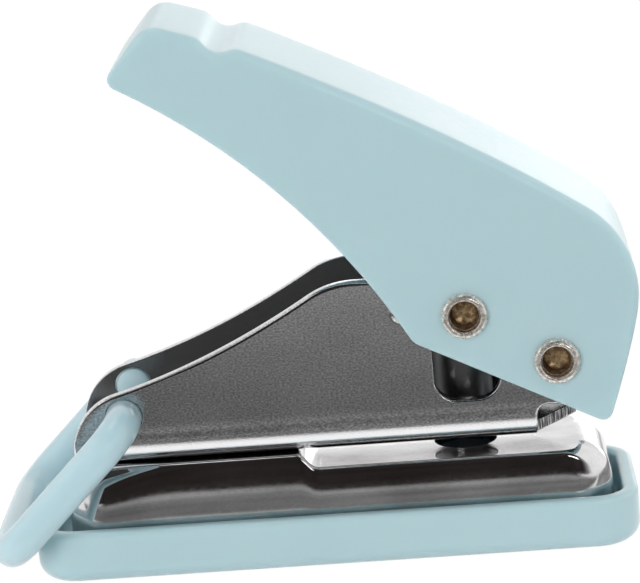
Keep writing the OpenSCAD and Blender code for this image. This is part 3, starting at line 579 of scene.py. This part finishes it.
print("upper edge", lengths(upper)[-1].round(1), "mm, groove over", dip.sum(), "points")

# %% Lever edges
def softened(line, sigma, step=0.05):
    """The line resampled at a step and blurred along its length by a bell curve of width sigma."""
    line = resample(line, np.linspace(0, lengths(line)[-1], int(lengths(line)[-1] / step)))
    reach = int(4 * sigma / step)
    bell = np.exp(-0.5 * (np.arange(-reach, reach + 1) * step / sigma) ** 2)
    padded = np.vstack([2 * line[0] - line[reach:0:-1], line, 2 * line[-1] - line[-2:-reach - 2:-1]])
    return np.stack([np.convolve(padded[:, k], bell / bell.sum(), "valid") for k in (0, 1)], 1)


# The groove's two lips are rounder than the other corners.
lip_reach = 4.0
crisp, soft = softened(upper, 0.12), softened(upper, 0.5)
lips = np.exp(-(np.linalg.norm(crisp - groove, axis=1) / lip_reach) ** 6)[:, None]
edge = (crisp + lips * (soft - crisp))[::4]
edge[-1] = crisp[-1]
inward = unit(left(np.gradient(edge, axis=0)))
lower_in = -unit(left(np.gradient(lower, axis=0)))
print("upper edge", len(edge), "points, lower edge", len(lower), "points")

# %% Lever hollow
lever_half, lever_wall = 16.7 / 2, 1.8
chain = [knee, heel, rear_bow, shoulder, top_bow, top_end, nose_top, nose_low]
inner_heel, inner_rear, inner_back, inner_top, inner_end, inner_tip = [
    moved_corner(*chain[i:i + 3], lever_wall * (i > 0), lever_wall) for i in range(6)]
front_line = inner_tip + np.linspace(0, 8, 400)[:, None] * unit(nose_low - nose_top)
gap = np.linalg.norm(front_line[:, None] - lower[None], axis=2)
inner_low = front_line[np.unravel_index(gap.argmin(), gap.shape)[0]]
round_back = corner(inner_rear, inner_back, inner_top, shoulder_r - lever_wall, 40)
hollow = np.vstack([bow(inner_heel, inner_rear, round_back[0], 30), round_back[1:-1],
                    bow(round_back[-1], inner_top, inner_end, 60), [inner_tip, inner_low]])
print("hollow", len(hollow), "points,", lengths(hollow)[-1].round(1), "mm")

# %% Lever stations
axis = unit(left(nose_top - nose_low))
rear_in, front_in = left(unit(rear_bow - heel)), left(unit(nose_low - nose_top))
first = np.linalg.norm(edge - (inner_heel - lever_wall * rear_in), axis=1).argmin()
last = np.linalg.norm(edge - (inner_low - lever_wall * front_in), axis=1).argmin()
least_step = 0.015
apart = np.maximum(np.diff(np.maximum.accumulate((edge @ axis)[first:last + 1])), least_step)
share = np.zeros(len(edge))
share[first + 1:last + 1], share[last + 1:] = np.cumsum(apart) / apart.sum(), 1


def partner(line, values):
    """For each station, the values at the place of a line that has the same share of its way
    along the lever."""
    reach = np.maximum.accumulate(line @ axis) + 1e-7 * np.arange(len(line))
    want = np.interp(share, [0, 1], [inner_heel @ axis, inner_low @ axis])
    return np.stack([np.interp(want, reach, values[:, k]) for k in (0, 1)], 1)


station = np.arange(len(edge))[:, None]
low_edge, rise, inside = partner(lower, lower), partner(lower, lower_in), partner(hollow, hollow)
low_edge[:first] = (edge[0] + station / first * (inner_heel - edge[0]))[:first]
ease = (station - last) / (len(edge) - 1 - last)
low_edge[last:] = (inner_low + ease * (edge[-1] - inner_low))[last:]
rise[:first], rise[last:] = inward[0], inward[-1]
inside[:first + 1], inside[last:] = low_edge[:first + 1], low_edge[last:]
print("hollow from station", first, "to", last)

# %% Lever bands
def eased(t):
    """t held between 0 and 1, with a level start and end: t^2 (3 - 2 t)."""
    t = np.clip(t, 0, 1)
    return t ** 2 * (3 - 2 * t)


def column(point, y):
    """One line of a grid: a point for each station at a place across the lever."""
    return np.stack([point[:, 0], np.broadcast_to(y, len(point)), point[:, 1]], 1)


def edge_columns(line, way, r, sign):
    """Columns of a rounded edge: a flat hem on the side, then a quarter circle of radius r, r being
    one number for each station."""
    flat = [column(line + (r + hem)[:, None] * way, sign * lever_half)]
    return flat + [column(line + (r * (1 - np.sin(a)))[:, None] * way,
                          sign * (lever_half - r * (1 - np.cos(a)))) for a in quarter]


# The edge is crisp at the heel and under the nose and grows rounder over the first 12.5 mm.
small_r, full_r, hem, quarter = 0.25, 0.8, 0.12, np.radians(np.linspace(0, 90, 9))
s = lengths(edge)
fade = np.clip((s[-1] - 1.8 - s) / 4.0, 0, 1)
edge_r = small_r + (full_r - small_r) * eased((s - 1.5) / 11.0) * fade
low_r = np.full(len(edge), small_r)
spread = np.linspace(-1, 1, 7) * (lever_half - lever_wall)
bands = [edge_columns(edge, inward, edge_r, -1) + [column(edge, y) for y in spread]
         + edge_columns(edge, inward, edge_r, 1)[::-1],
         edge_columns(low_edge, rise, low_r, -1) + [column(low_edge, spread[0])],
         edge_columns(low_edge, rise, low_r, 1) + [column(low_edge, spread[-1])],
         [column(inside, y) for y in spread]]
patches = [with_faces(np.stack(b, 1)) for b in bands]
print("edge radius", edge_r.min().round(2), "to", edge_r.max().round(2), "mm")

# %% Lever walls
drive, bore_r = np.array([13.7, 24.1]), 1.45
bores = [circle(c, bore_r, 40)[::-1] for c in (pivot, drive)]
side_loop = np.vstack([low_edge + (small_r + hem) * rise,
                       (edge + (edge_r + hem)[:, None] * inward)[-2:0:-1]])
hollow_loop = np.vstack([low_edge[first:last + 1], inside[first + 1:last][::-1]])
wall_ys = (lever_half, lever_half - lever_wall)
for loop, y in zip((side_loop, hollow_loop), wall_ys):
    flat, flat_faces = filled([loop, *bores], no_extra)
    patches += [(column(flat, sign * y), flat_faces) for sign in (-1, 1)]
for sign in (-1, 1):
    patches += [with_faces(np.stack([column(bore, sign * y) for y in wall_ys], 1), close_rows=True)
                for bore in bores]
make_piece("lever_shell", patches, blue_plastic, "lever", "lever", crease=50)

# %% [markdown]
# ## Lock ring
# The ring is a round plastic rod bent into a square loop, with both ends turned in through the
# ears of the frame. A curve with a bevel would do, but a circle carried along a path of lines and
# arcs gives exact bends and lets the ends be rounded: the radius is a number at each station.

# %% Rods
def rod(path, radius, sides, side_way):
    """Circle carried along a path: point + radius (cos a times a side way + sin a times the other),
    the side ways square to the path, the first one square to side_way too. A flat face closes each
    end."""
    run = unit(np.gradient(path, axis=0))
    u = unit(np.cross(run, side_way))
    v = np.cross(run, u)
    a = np.linspace(0, 2 * np.pi, sides, endpoint=False)
    turn = np.cos(a)[:, None] * u[:, None] + np.sin(a)[:, None] * v[:, None]
    grid = path[:, None] + np.broadcast_to(radius, len(path))[:, None, None] * turn
    cap = np.arange(sides)[None]
    return [with_faces(grid, close_columns=True), (grid[0], cap), (grid[-1], cap[:, ::-1])]


def rounded_ends(path, r, n=8, cap=1.0):
    """The path with n stations crowded into each end, and the radius at each station, so that the
    ends close in a quarter ellipse of length cap."""
    s = lengths(path)
    head = cap * (1 - np.cos(np.linspace(0, np.pi / 2, n)))
    where = np.concatenate([head, s[(s > cap) & (s < s[-1] - cap)], s[-1] - head[::-1]])
    swell = np.minimum(np.minimum(where, s[-1] - where) / cap, 1)
    return resample(path, where), r * np.sqrt(np.maximum(1 - (1 - swell) ** 2, 1e-6))


# %% Lock ring
ear, ring_d, ring_l, ring_arm_y = np.array([-19.5, 0.0, 15.75]), 3.5, 16.6, 11.0
elbow_r, bend_r, pin_y, ring_drop = 3.0, 3.5, 4.3, np.radians(44.7)
elbow_y, bend_y = elbow_r - ring_arm_y, bend_r - ring_arm_y
half_ring = np.vstack([
    np.linspace([0, -pin_y], [0, elbow_y], 14)[:-1], arc((-elbow_r, elbow_y), elbow_r, 0, -90, 16),
    np.linspace([-elbow_r, -ring_arm_y], [bend_r - ring_l, -ring_arm_y], 24)[1:-1],
    arc((bend_r - ring_l, bend_y), bend_r, -90, -180, 20),
    np.linspace([-ring_l, bend_y], [-ring_l, 0], 10)[1:]])
loop = np.vstack([half_ring, (half_ring * [1, -1])[-2::-1]])
lean, sideways = np.array([np.cos(ring_drop), 0, np.sin(ring_drop)]), np.array([0.0, 1.0, 0.0])
ring_path = ear + loop[:, :1] * lean + loop[:, 1:] * sideways
ring_path, ring_rs = rounded_ends(ring_path, ring_d / 2, cap=0.7)
make_piece("ring_rod", rod(ring_path, ring_rs, 32, np.cross(lean, sideways)),
           ring_plastic, "ring", "lock_ring")

# %% [markdown]
# ## Plated steel
# Both pressed pieces are plated. The base plate is polished like a mirror, with faint clouds in its
# shade. The frame keeps the mottled grain of the rolled sheet under its plating, except over its
# bends, where the press has smoothed it. Its inside is painted dark and less metallic, as painted
# shade for the dim channel, and the cut edges carry fine lines across the sheet where they were
# sheared: two attributes mark these places.

# %% Steel finishes
bend_top, grain_full = 12.4 * MM, 13.4 * MM


def marked(tree, name):
    """Socket of a point attribute."""
    return add_node(tree, "ShaderNodeAttribute", attribute_name=name).outputs["Fac"]


def steel_finish(name, shade, smooth, rough, grain, mottle=0.05, cloud=0.05, sheet=False):
    """Plated steel: gloss between smooth and rough, a fine grain of a depth in mm, a fine mottle of
    the shade and wider clouds in it. A folded sheet is mottled only above its bends. It has an
    attribute for its cut edges, lined and dull, and one for its inside, which is painted dark and
    less metallic as painted shade."""
    finish, tree, shader, spot = start_finish(name)
    light, metal = np.array(shade), 1.0
    fine = noise(tree, spot, 0.15, 3.0, (1.6, 1, 1))
    wide = between(tree, noise(tree, spot, 4.0, 3.0, (2, 1, 1)), 0, 1, 0.35, 0.65)
    plain = tint(tree, wide, light * (1 - cloud), light)
    dull = tint(tree, wide, light * (1 - cloud) * (1 - mottle), light * (1 - mottle))
    skin = blend_colour(tree, between(tree, fine, 0, 1, 0.32, 0.68), dull, plain)
    heights = [(noise(tree, spot, 3.5), 0.02, 0.2), (fine, grain, 0.5)]
    if sheet:
        height = add_node(tree, "ShaderNodeSeparateXYZ", {0: spot}).outputs["Z"]
        flat = between(tree, height, 0, 1, bend_top, grain_full)
        skin = blend_colour(tree, flat, tint(tree, fine, light * 0.92, light), skin)
        # The inside is painted dark and made less metallic: painted shade for the dim channel.
        cut, inside = marked(tree, "cut_edge"), marked(tree, "inside")
        skin = blend_colour(tree, inside, skin, tint(tree, fine, light * 0.26, light * 0.34))
        metal = between(tree, inside, 1.0, 0.8, 0, 1)
        lines = noise(tree, spot, 0.13, 1.0, (1, 1, 14))
        streaks = tint(tree, between(tree, lines, 0, 1, 0.44, 0.62), light * 0.1, light)
        skin = blend_colour(tree, cut, skin, streaks)
        heights.append((maths(tree, "MULTIPLY", lines, cut), 0.05, 0.8))
    feed(tree, shader, {"Base Color": skin, "Metallic": metal,
                        "Roughness": between(tree, noise(tree, spot, 0.4, 3.0), smooth, rough)})
    lift(tree, shader, heights)
    return finish


mirror_steel = steel_finish("mirror_plating", (0.84, 0.83, 0.83), 0.05, 0.10, 0.0015, 0.08, 0.25)
satin_steel = steel_finish("satin_plating", (0.90, 0.90, 0.91), 0.10, 0.17, 0.014, 0.55, 0.12,
                           sheet=True)
print("steel finishes:", mirror_steel.name, satin_steel.name)

# %% [markdown]
# ## Base plate
# The base plate is one pressing, a shallow pan upside down with a joggle: its front half stands
# higher, against the frame, and a step leads down to the die face under the punch. The skirt's
# profile is carried round the foot as for the tray, but its top follows the height over each x,
# and its crest grows from a crisp edge along the sides to a round dome at both ends.
# The top itself is a flat fill with the round die hole, bent over the same step.

# %% Base plate skirt
base_x, base_w, base_r, foot_z, high_z, low_z = (-25.95, 27.05), 13.9, 4.0, 1.5, 10.85, 9.45
step_x, step_run, lean_in, lean_z = -3.387, 2.2, 0.75, 4.5
side_crest, end_crest, front_reach, rear_reach = 0.5, 3.1, 11.0, 5.0


def base_top(x):
    """Height of the top: high before the step, low after it, two half parabolas between."""
    t = np.clip((x - step_x) / step_run, 0, 1)
    return high_z - (high_z - low_z) * np.where(t < 0.5, 2 * t ** 2, 1 - 2 * (1 - t) ** 2)


front_x, rear_x, reach_y = base_x[0] + base_r, base_x[1] - base_r, base_w / 2 - base_r
base_xs = np.unique(np.concatenate([np.linspace(front_x, rear_x, 70),
                                    np.linspace(step_x - 0.6, step_x + step_run + 0.6, 40)]))
inner, way = base_path = round_path(base_xs, np.linspace(-reach_y, reach_y, 12), 24)
top_z = base_top(inner[:, 0])[:, None]
foot_x = inner[:, :1] + base_r * way[:, :1]
near_end = np.maximum((base_x[0] + front_reach - foot_x) / front_reach,
                      (foot_x - base_x[1] + rear_reach) / rear_reach)
crest_r = side_crest + (end_crest - side_crest) * eased(near_end)
tip = np.radians(np.linspace(10, 90, 11))
crest_z = top_z + crest_r * (np.sin(tip) - 1)
share, skirt_h = np.linspace(0, 1, 16), crest_z[:, :1] - lean_z
skirt_out = base_r - lean_in * skirt_h / (high_z - lean_z) * share ** 2
crest_out = skirt_out[:, -1:] + crest_r * (np.cos(tip) - np.cos(tip[0]))
rim = np.ones_like(top_z)
out = np.hstack([base_r * rim, skirt_out, crest_out[:, 1:], crest_out[:, -1:] - 0.1,
                 crest_out[:, -1:] - 0.3])
rise_z = np.hstack([foot_z * rim, lean_z + skirt_h * share, crest_z[:, 1:], top_z, top_z])
skirt_grid = carried(base_path, np.stack([out, rise_z], -1))
print("skirt", skirt_grid.shape[0], "stations, crest", crest_r.min(), "to", crest_r.max(), "mm")

# %% Base plate top
punch_x, die_r, base_sheet = 13.0126, 3.06, 1.0
rim_loop, die_loop = skirt_grid[:, -1, :2], circle((punch_x, 0), die_r, 72)[::-1]
top_ys = np.linspace(-1, 1, 14) * (reach_y + out[:, -1].min() - 0.3)
spots = np.stack(np.meshgrid(base_xs, top_ys), -1).reshape(-1, 2)
spots = spots[np.hypot(spots[:, 0] - punch_x, spots[:, 1]) > die_r + 0.15]
top_points, top_faces = filled([rim_loop, die_loop], spots)
top_grid = np.column_stack([top_points, base_top(top_points[:, 0])])
base = make_piece("base_pressing", [with_faces(skirt_grid, close_rows=True), (top_grid, top_faces)],
                  mirror_steel, "chassis", "base_plate", crease=60)
wall = base.modifiers.new("sheet", "SOLIDIFY")
wall.thickness, wall.offset, wall.use_even_offset = base_sheet * MM, -1.0, True

# %% [markdown]
# ## Upper frame
# The frame is one piece of sheet folded into a channel. It is made here as in the press: a flat
# blank is outlined with its holes, its edges are rounded, and the blank is folded by a function
# of two places on the sheet and the depth in it. Web and walls stay flat and the bends become
# quarter circles, so every hole lands where the solid has it.

# %% Folding the frame
web_z, sheet, frame_half, fold_r = high_z, 1.2, 6.0, 2.1
web_half, mid_r, fold_z = frame_half - fold_r, fold_r - sheet / 2, web_z + fold_r
bend_end = web_half + mid_r * np.pi / 2
relief_x, notch_z, tail_l, tail_lift = punch_x + 7.0, web_z + 3.3, 3.9, 0.6


def on_blank(line):
    """A side view of a wall, in x and z, as places on the blank."""
    return np.column_stack([line[:, 0], bend_end + line[:, 1] - fold_z])


def fold(places, depth):
    """Places on the blank as points: the web level, the bends turned about their axes at the radius
    that the depth gives, the walls upright and the tail bent up. Depth counts from the sheet's
    middle outwards."""
    x, v = places[..., 0], np.abs(places[..., 1])
    angle = np.clip((v - web_half) / mid_r, 0, np.pi / 2)
    y = np.minimum(v, web_half) + (mid_r + depth) * np.sin(angle)
    z = fold_z - (mid_r + depth) * np.cos(angle) + np.maximum(v - bend_end, 0)
    z = z + np.where(v < web_half, np.maximum(x - relief_x, 0) * tail_lift / tail_l, 0)
    return np.stack([x, np.sign(places[..., 1]) * y, z], -1)


print("from the sheet's middle line a wall begins", round(bend_end, 2), "mm out")

# %% Frame blank
nose_c, nose_r = np.array([ear[0] + 0.7, web_z + 1.4]), 5.85
wall_z, hump_r, flat_end, pivot_ear_r = web_z + 16.65, 8.5, 16.3, 3.9
hump_c = np.array([punch_x - 9.7, wall_z - hump_r])
nose_start = 180 - np.degrees(np.arcsin((fold_z - nose_c[1]) / nose_r))
nose_end_a, hump_a, blank_step = 105, 121, 0.5
nose_line = arc(nose_c, nose_r, nose_start, nose_end_a, 30)
hump_line = arc(hump_c, hump_r, hump_a, 90, 14)
rise_a, rise_c = nose_line[-1], hump_line[0]
slope_a, slope_c = [np.array([np.sin(s), -np.cos(s)]) for s in np.radians([nose_end_a, hump_a])]
rise_b = moved_corner(rise_a - slope_a, rise_a, rise_a + slope_c, 0, (rise_c - rise_a) @ left(slope_c))
ear_foot = np.array([pivot[0] + 1.6, notch_z])
wall_top = np.vstack([
    nose_line, bow(rise_a, rise_b, rise_c, 40)[1:], hump_line[1:], [[flat_end, wall_z]],
    arc(pivot, pivot_ear_r, 55, -35, 30), [ear_foot],
    corner(ear_foot, [relief_x, notch_z], [relief_x, web_z], 1.0, 10), [[relief_x, fold_z]]])
far_edge = on_blank(wall_top)
rear_bend = np.linspace([relief_x, bend_end], [relief_x, web_half], 11)[1:]
nose_bend = np.linspace([far_edge[0, 0], bend_end], [far_edge[0, 0], web_half], 9)[1:]
near_way = np.vstack([far_edge, rear_bend, [[relief_x + tail_l, 0.5]]])
outline = np.vstack([near_way * [1, -1], near_way[::-1], nose_bend, nose_bend[::-1] * [1, -1]])
following = np.roll(outline, -1, 0)
steps = np.ceil(np.linalg.norm(following - outline, axis=1) / blank_step).astype(int)
blank = np.vstack([np.linspace(p, q, n + 1)[:-1]
                   for p, q, n in zip(outline, following, np.maximum(steps, 1))])
print("blank of", np.ptp(blank, axis=0).round(1), "mm has", len(blank), "points round it")

# %% Frame holes
slot_x, slot_low, slot_top, slot_r = (10.4126, 16.7126), web_z + 4.3, drive[1] + bore_r, 2.2
frame_rivet_xs, frame_rivet_bore = step_x - np.array([4.0, 12.0]), 1.25
slot_corners = np.array([[slot_x[0], slot_top], [slot_x[0], slot_low], [slot_x[1], slot_low],
                         [slot_x[1], slot_top]])
slot_line = np.vstack([np.linspace(slot_corners[0], slot_corners[1], 12)[:9],
                       corner(*slot_corners[:3], slot_r, 14), corner(*slot_corners[1:], slot_r, 14),
                       np.linspace(slot_corners[2], slot_corners[3], 12)[3:],
                       np.linspace(slot_corners[3], slot_corners[0], 10)[1:-1]])
wall_holes = [on_blank(circle(ear[[0, 2]], ring_d / 2 + 0.08, 48)),
              on_blank(circle(pivot, bore_r, 40)), on_blank(slot_line)]
web_holes = [circle((x, 0), frame_rivet_bore, 32) for x in frame_rivet_xs]
loops = [blank] + [h * [1, s] for h in wall_holes for s in (1, -1)]
loops += [circle((punch_x, 0), die_r, 72), *web_holes]


def wound(loop, sign):
    """The loop against the clock for sign 1 and with it for -1, by the sign of its area."""
    x, y = loop.T
    area = (x * np.roll(y, -1) - y * np.roll(x, -1)).sum()
    return loop if area * sign > 0 else loop[::-1]


loops = [wound(p, 1 if i == 0 else -1) for i, p in enumerate(loops)]
print("the blank has", len(loops) - 1, "holes")

# %% Frame edges
def moved_in(loop, d):
    """Copies of the loop moved to its left, by the distances d of each point, and at corners by as
    much as keeps both sides parallel."""
    lean = left(unit(loop - np.roll(loop, 1, 0)) + unit(np.roll(loop, -1, 0) - loop))
    lean = 2 * lean / np.maximum((lean ** 2).sum(1), 0.6)[:, None]
    return loop[:, None] + d[..., None] * lean[:, None]


dimple, dimple_r, dimple_h = on_blank(np.array([[punch_x - 5.3, web_z + 13.4]]))[0], 1.1, 0.35
swell_h, swell_at, swell_w = 0.06, bend_end + 0.8, 0.6


def pressed(places, depth):
    """Folded points, with a small round dimple pressed outwards in each wall and, over each bend,
    the slight swell that folding leaves."""
    off = np.hypot(places[..., 0] - dimple[0], np.abs(places[..., 1]) - dimple[1])
    swell = swell_h * np.exp(-((np.abs(places[..., 1]) - swell_at) / swell_w) ** 2)
    return fold(places, depth + dimple_h * np.clip(1 - (off / dimple_r) ** 2, 0, 1) + swell)


# One radius for the outline, which grows along the walls, two for the ears' holes, seven for the rest.
edge_x, ramp_l = loops[0][:, :1], 4.0
along = np.minimum(edge_x + 15.5, relief_x - 1.5 - edge_x) / ramp_l
outer_r = [0.25 + 0.12 * eased(along)] + [0.08] * 2 + [0.2] * 7
inner_r = [0.12] + [0.08] * 2 + [0.12] * 7
turn = np.radians(np.linspace(0, 90, 6))
cut_in = np.concatenate([[1.2], 1 - np.sin(turn)])
cut_depth = np.concatenate([[0], 1 - np.cos(turn)])
strips, cut_marks, shaded_inside_marks = [], [], []
for loop, r_out, r_in in zip(loops, outer_r, inner_r):
    r_out, r_in = np.broadcast_to(r_out, (len(loop), 1)), np.full((len(loop), 1), r_in)
    inset = np.hstack([r_out * cut_in, r_in * cut_in[::-1]])
    depth = np.hstack([sheet / 2 - r_out * cut_depth, r_in * cut_depth[::-1] - sheet / 2])
    strips.append(with_faces(pressed(moved_in(loop, inset), depth), close_rows=True))
    across_cut = np.arange(inset.shape[1]) * np.ones((len(loop), 1))
    torn = np.where(loop[:, :1] > relief_x - 0.1, 1.0, 0.1)
    cut_marks.append(((across_cut > 4) & (across_cut < 10)) * torn)
    # The inner rounding of each cut edge carries the inside's painted shade.
    shaded_inside_marks.append((across_cut > 10) * 1.0)
print("cut edges:", len(strips), "loops")

# %% Frame surface
bend_rows = np.concatenate([np.linspace(web_half, bend_end, 10), [web_half - 0.15, bend_end + 0.15],
                            bend_end + np.linspace(0.3, 2.3, 11)])
bend_xs = np.linspace(blank[:, 0].min() + 0.6, relief_x - 0.9, 60)
rosette = np.vstack([circle(dimple, r, 24) for r in np.linspace(0.15, 1.3, 9)])
spots = np.vstack([np.stack(np.meshgrid(bend_xs, bend_rows), -1).reshape(-1, 2), rosette])
spots = np.vstack([spots, spots * [1, -1]])
skins = []
for radii, depth in ((outer_r, sheet / 2), (inner_r, -sheet / 2)):
    hems = [moved_in(p, np.broadcast_to(r * cut_in[0], (len(p), 1)))[:, 0] for p, r in zip(loops, radii)]
    places, faces = filled(hems, spots)
    skins.append((pressed(places, np.full(len(places), depth)), faces))
    cut_marks.append(np.zeros(len(places)))
    # The inner skin carries the inside's painted shade.
    shaded_inside_marks.append(np.full(len(places), (depth < 0) * 1.0))
make_piece("frame_channel", strips + skins, satin_steel, "chassis", "upper_frame",
           crease=60, marks={"cut_edge": cut_marks, "inside": shaded_inside_marks})

# %% [markdown]
# ## Rivets
# The lever turns on one half-tubular rivet and drives the punch with another: each has a rolled
# lip round an open bore on the near side and a low dome on the far side. Two solid rivets hold
# the frame on the base plate. All are one profile turned round an axis. The open bores are bare
# brass-coloured metal, darker than the nickel outside, and their walls are painted darker still as
# painted shade in the hollow, so their points carry a mark.

# %% Rivet finish
def rivet_finish(name):
    """Nickel with soft wear outside. A mark of one gives the bore its golden brass floor and a mark of
    a half its wall, in a darker brown that is painted shade in the hollow."""
    finish, tree, shader, spot = start_finish(name)
    worn = between(tree, noise(tree, spot, 0.3, 3.0), 0, 1, 0.36, 0.6)
    nickel = tint(tree, worn, (0.50, 0.46, 0.41), (0.92, 0.88, 0.82))
    patchy = between(tree, noise(tree, spot, 0.5, 3.0), 0, 1, 0.4, 0.6)
    # The bore's wall is painted a darker brown than its floor: painted shade in the hollow.
    shaded_brass = tint(tree, patchy, (0.12, 0.075, 0.045), (0.30, 0.21, 0.13))
    gold = tint(tree, patchy, (0.20, 0.125, 0.06), (0.56, 0.39, 0.21))
    mark = marked(tree, "bore")
    bore = blend_colour(tree, between(tree, mark, 0, 1, 0.5, 1.0), shaded_brass, gold)
    feed(tree, shader, {
        "Base Color": blend_colour(tree, between(tree, mark, 0, 1, 0.0, 0.5), nickel, bore),
        "Metallic": between(tree, mark, 0.75, 0.5, 0, 1),
        "Roughness": between(tree, noise(tree, spot, 0.5, 2.0), 0.18, 0.34)})
    lift(tree, shader, [(noise(tree, spot, 0.3), 0.006, 0.4)])
    return finish


nickel_finish = rivet_finish("rivet_nickel")
print("rivet finish:", nickel_finish.name)

# %% Tubular rivets
def turned(profile, sides=48):
    """Profile of (radius, height) carried round: (r cos a, r sin a, h)."""
    a = np.linspace(0, 2 * np.pi, sides, endpoint=False)[:, None]
    r, h = profile.T
    return np.stack([r * np.cos(a), r * np.sin(a), np.broadcast_to(h, (sides, len(h)))], -1)


# Heights count from the lever's near side: floor, wall and lip of the bore, shank, far dome.
lever_w, shank_r, floor_n, wall_n = 2 * lever_half, 1.4, 2, 9
tube_profile = np.vstack([
    [[0.0, 1.4], [1.05, 1.3]], np.linspace([1.2, 1.15], [1.5, -0.3], wall_n),
    bow([1.5, -0.33], [1.5, -0.66], [1.72, -0.66], 8),
    bow([1.72, -0.66], [2.2, -0.6], [2.2, 0.0], 12)[1:],
    [[shank_r, 0.02], [shank_r, lever_w - 0.02], [2.5, lever_w]],
    bow([2.5, lever_w + 0.2], [2.0, lever_w + 1], [0, lever_w + 1], 16)])
# The bore's wall takes the half mark, which paints it darker as shade.
bore_mark = np.zeros(len(tube_profile))
bore_mark[:floor_n], bore_mark[floor_n:floor_n + wall_n] = 1.0, 0.5
x, y, z = np.moveaxis(turned(tube_profile), -1, 0)
for name, centre in (("pivot_rivet", pivot), ("drive_rivet", drive)):
    spun = np.stack([centre[0] + x, z - lever_half, centre[1] - y], -1)
    make_piece(name + "_turned", [with_faces(spun, close_rows=True)], nickel_finish, "lever",
               name, crease=40, marks={"bore": [np.broadcast_to(bore_mark, x.shape)]})

# %% Solid rivets
solid_profile = np.vstack([
    [[0, 9.05], [1.5, 9.05]], bow([1.6, 9.05], [2.0, 9.1], [2.0, 9.85], 8),
    [[1.2, 9.86], [1.2, 12.04], [2.2, 12.05]], bow([2.2, 12.25], [2.2, 12.85], [0, 12.85], 16)])
solid_grid = turned(solid_profile)
no_bore = {"bore": [np.zeros(solid_grid.shape[:2])]}
for name, x in zip(("rear_frame_rivet", "front_frame_rivet"), frame_rivet_xs):
    make_piece(name + "_turned", [with_faces(solid_grid + [x, 0, 0], close_rows=True)], nickel_finish,
               "chassis", name, crease=40, marks=no_bore)

# %% [markdown]
# ## Return spring and punch
# A torsion spring sits round the pivot rivet inside the frame. One leg stands on the web, the
# other lifts the drive rivet. Its wire is a circle carried along a helix with straight tangent
# legs. The punch is a turned and cross-slotted pin, right as the solid has it, so it only takes
# a finish.

# %% Spring
wire_r, coil_r, leg_y, turns, leg_clear, leg_past = 0.4, 2.2, 3.9, 6, 0.05, 1.6
arm = drive - pivot
drive_r, lift_arm = np.hypot(*arm), coil_r + shank_r + wire_r + leg_clear
leg_slope = np.arccos(lift_arm / drive_r) - np.arctan2(-arm[0], arm[1])
foot = np.array([-5.0, web_z + sheet + wire_r + leg_clear - pivot[1]])
turn_in = np.arctan2(foot[1], foot[0]) + np.arccos(coil_r / np.hypot(*foot)) + 2 * np.pi
turn_out = np.pi / 2 - leg_slope + 2 * np.pi * turns
t = np.linspace(0, 1, 420)
angle = turn_in + (turn_out - turn_in) * t
coil = np.stack([pivot[0] + coil_r * np.cos(angle), leg_y * (2 * t - 1),
                 pivot[1] + coil_r * np.sin(angle)], 1)
leg_l = np.sqrt(drive_r ** 2 - lift_arm ** 2) + leg_past
upper_leg = coil[-1] + leg_l * np.array([-np.cos(leg_slope), 0, np.sin(leg_slope)])
lower_leg = np.array([pivot[0] + foot[0], -leg_y, pivot[1] + foot[1]])
wire = np.vstack([np.linspace(lower_leg, coil[0], 12)[:-1], coil,
                  np.linspace(coil[-1], upper_leg, 16)[1:]])
wire, wire_rs = rounded_ends(wire, wire_r, n=5, cap=0.15)
spring_steel = steel_finish("spring_steel", (0.45, 0.45, 0.46), 0.22, 0.36, 0.003)
spring = make_piece("spring_wire", rod(wire, wire_rs, 12, sideways), spring_steel, None,
                    "return_spring")
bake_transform(spring)

# %% Punch
punch_steel = steel_finish("punch_steel", (0.25, 0.25, 0.25), 0.3, 0.4, 0.0006)
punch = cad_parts["punch"]
punch.data.materials.clear()
punch.data.materials.append(punch_steel)
print("punch keeps its solid with", len(punch.data.polygons), "faces")
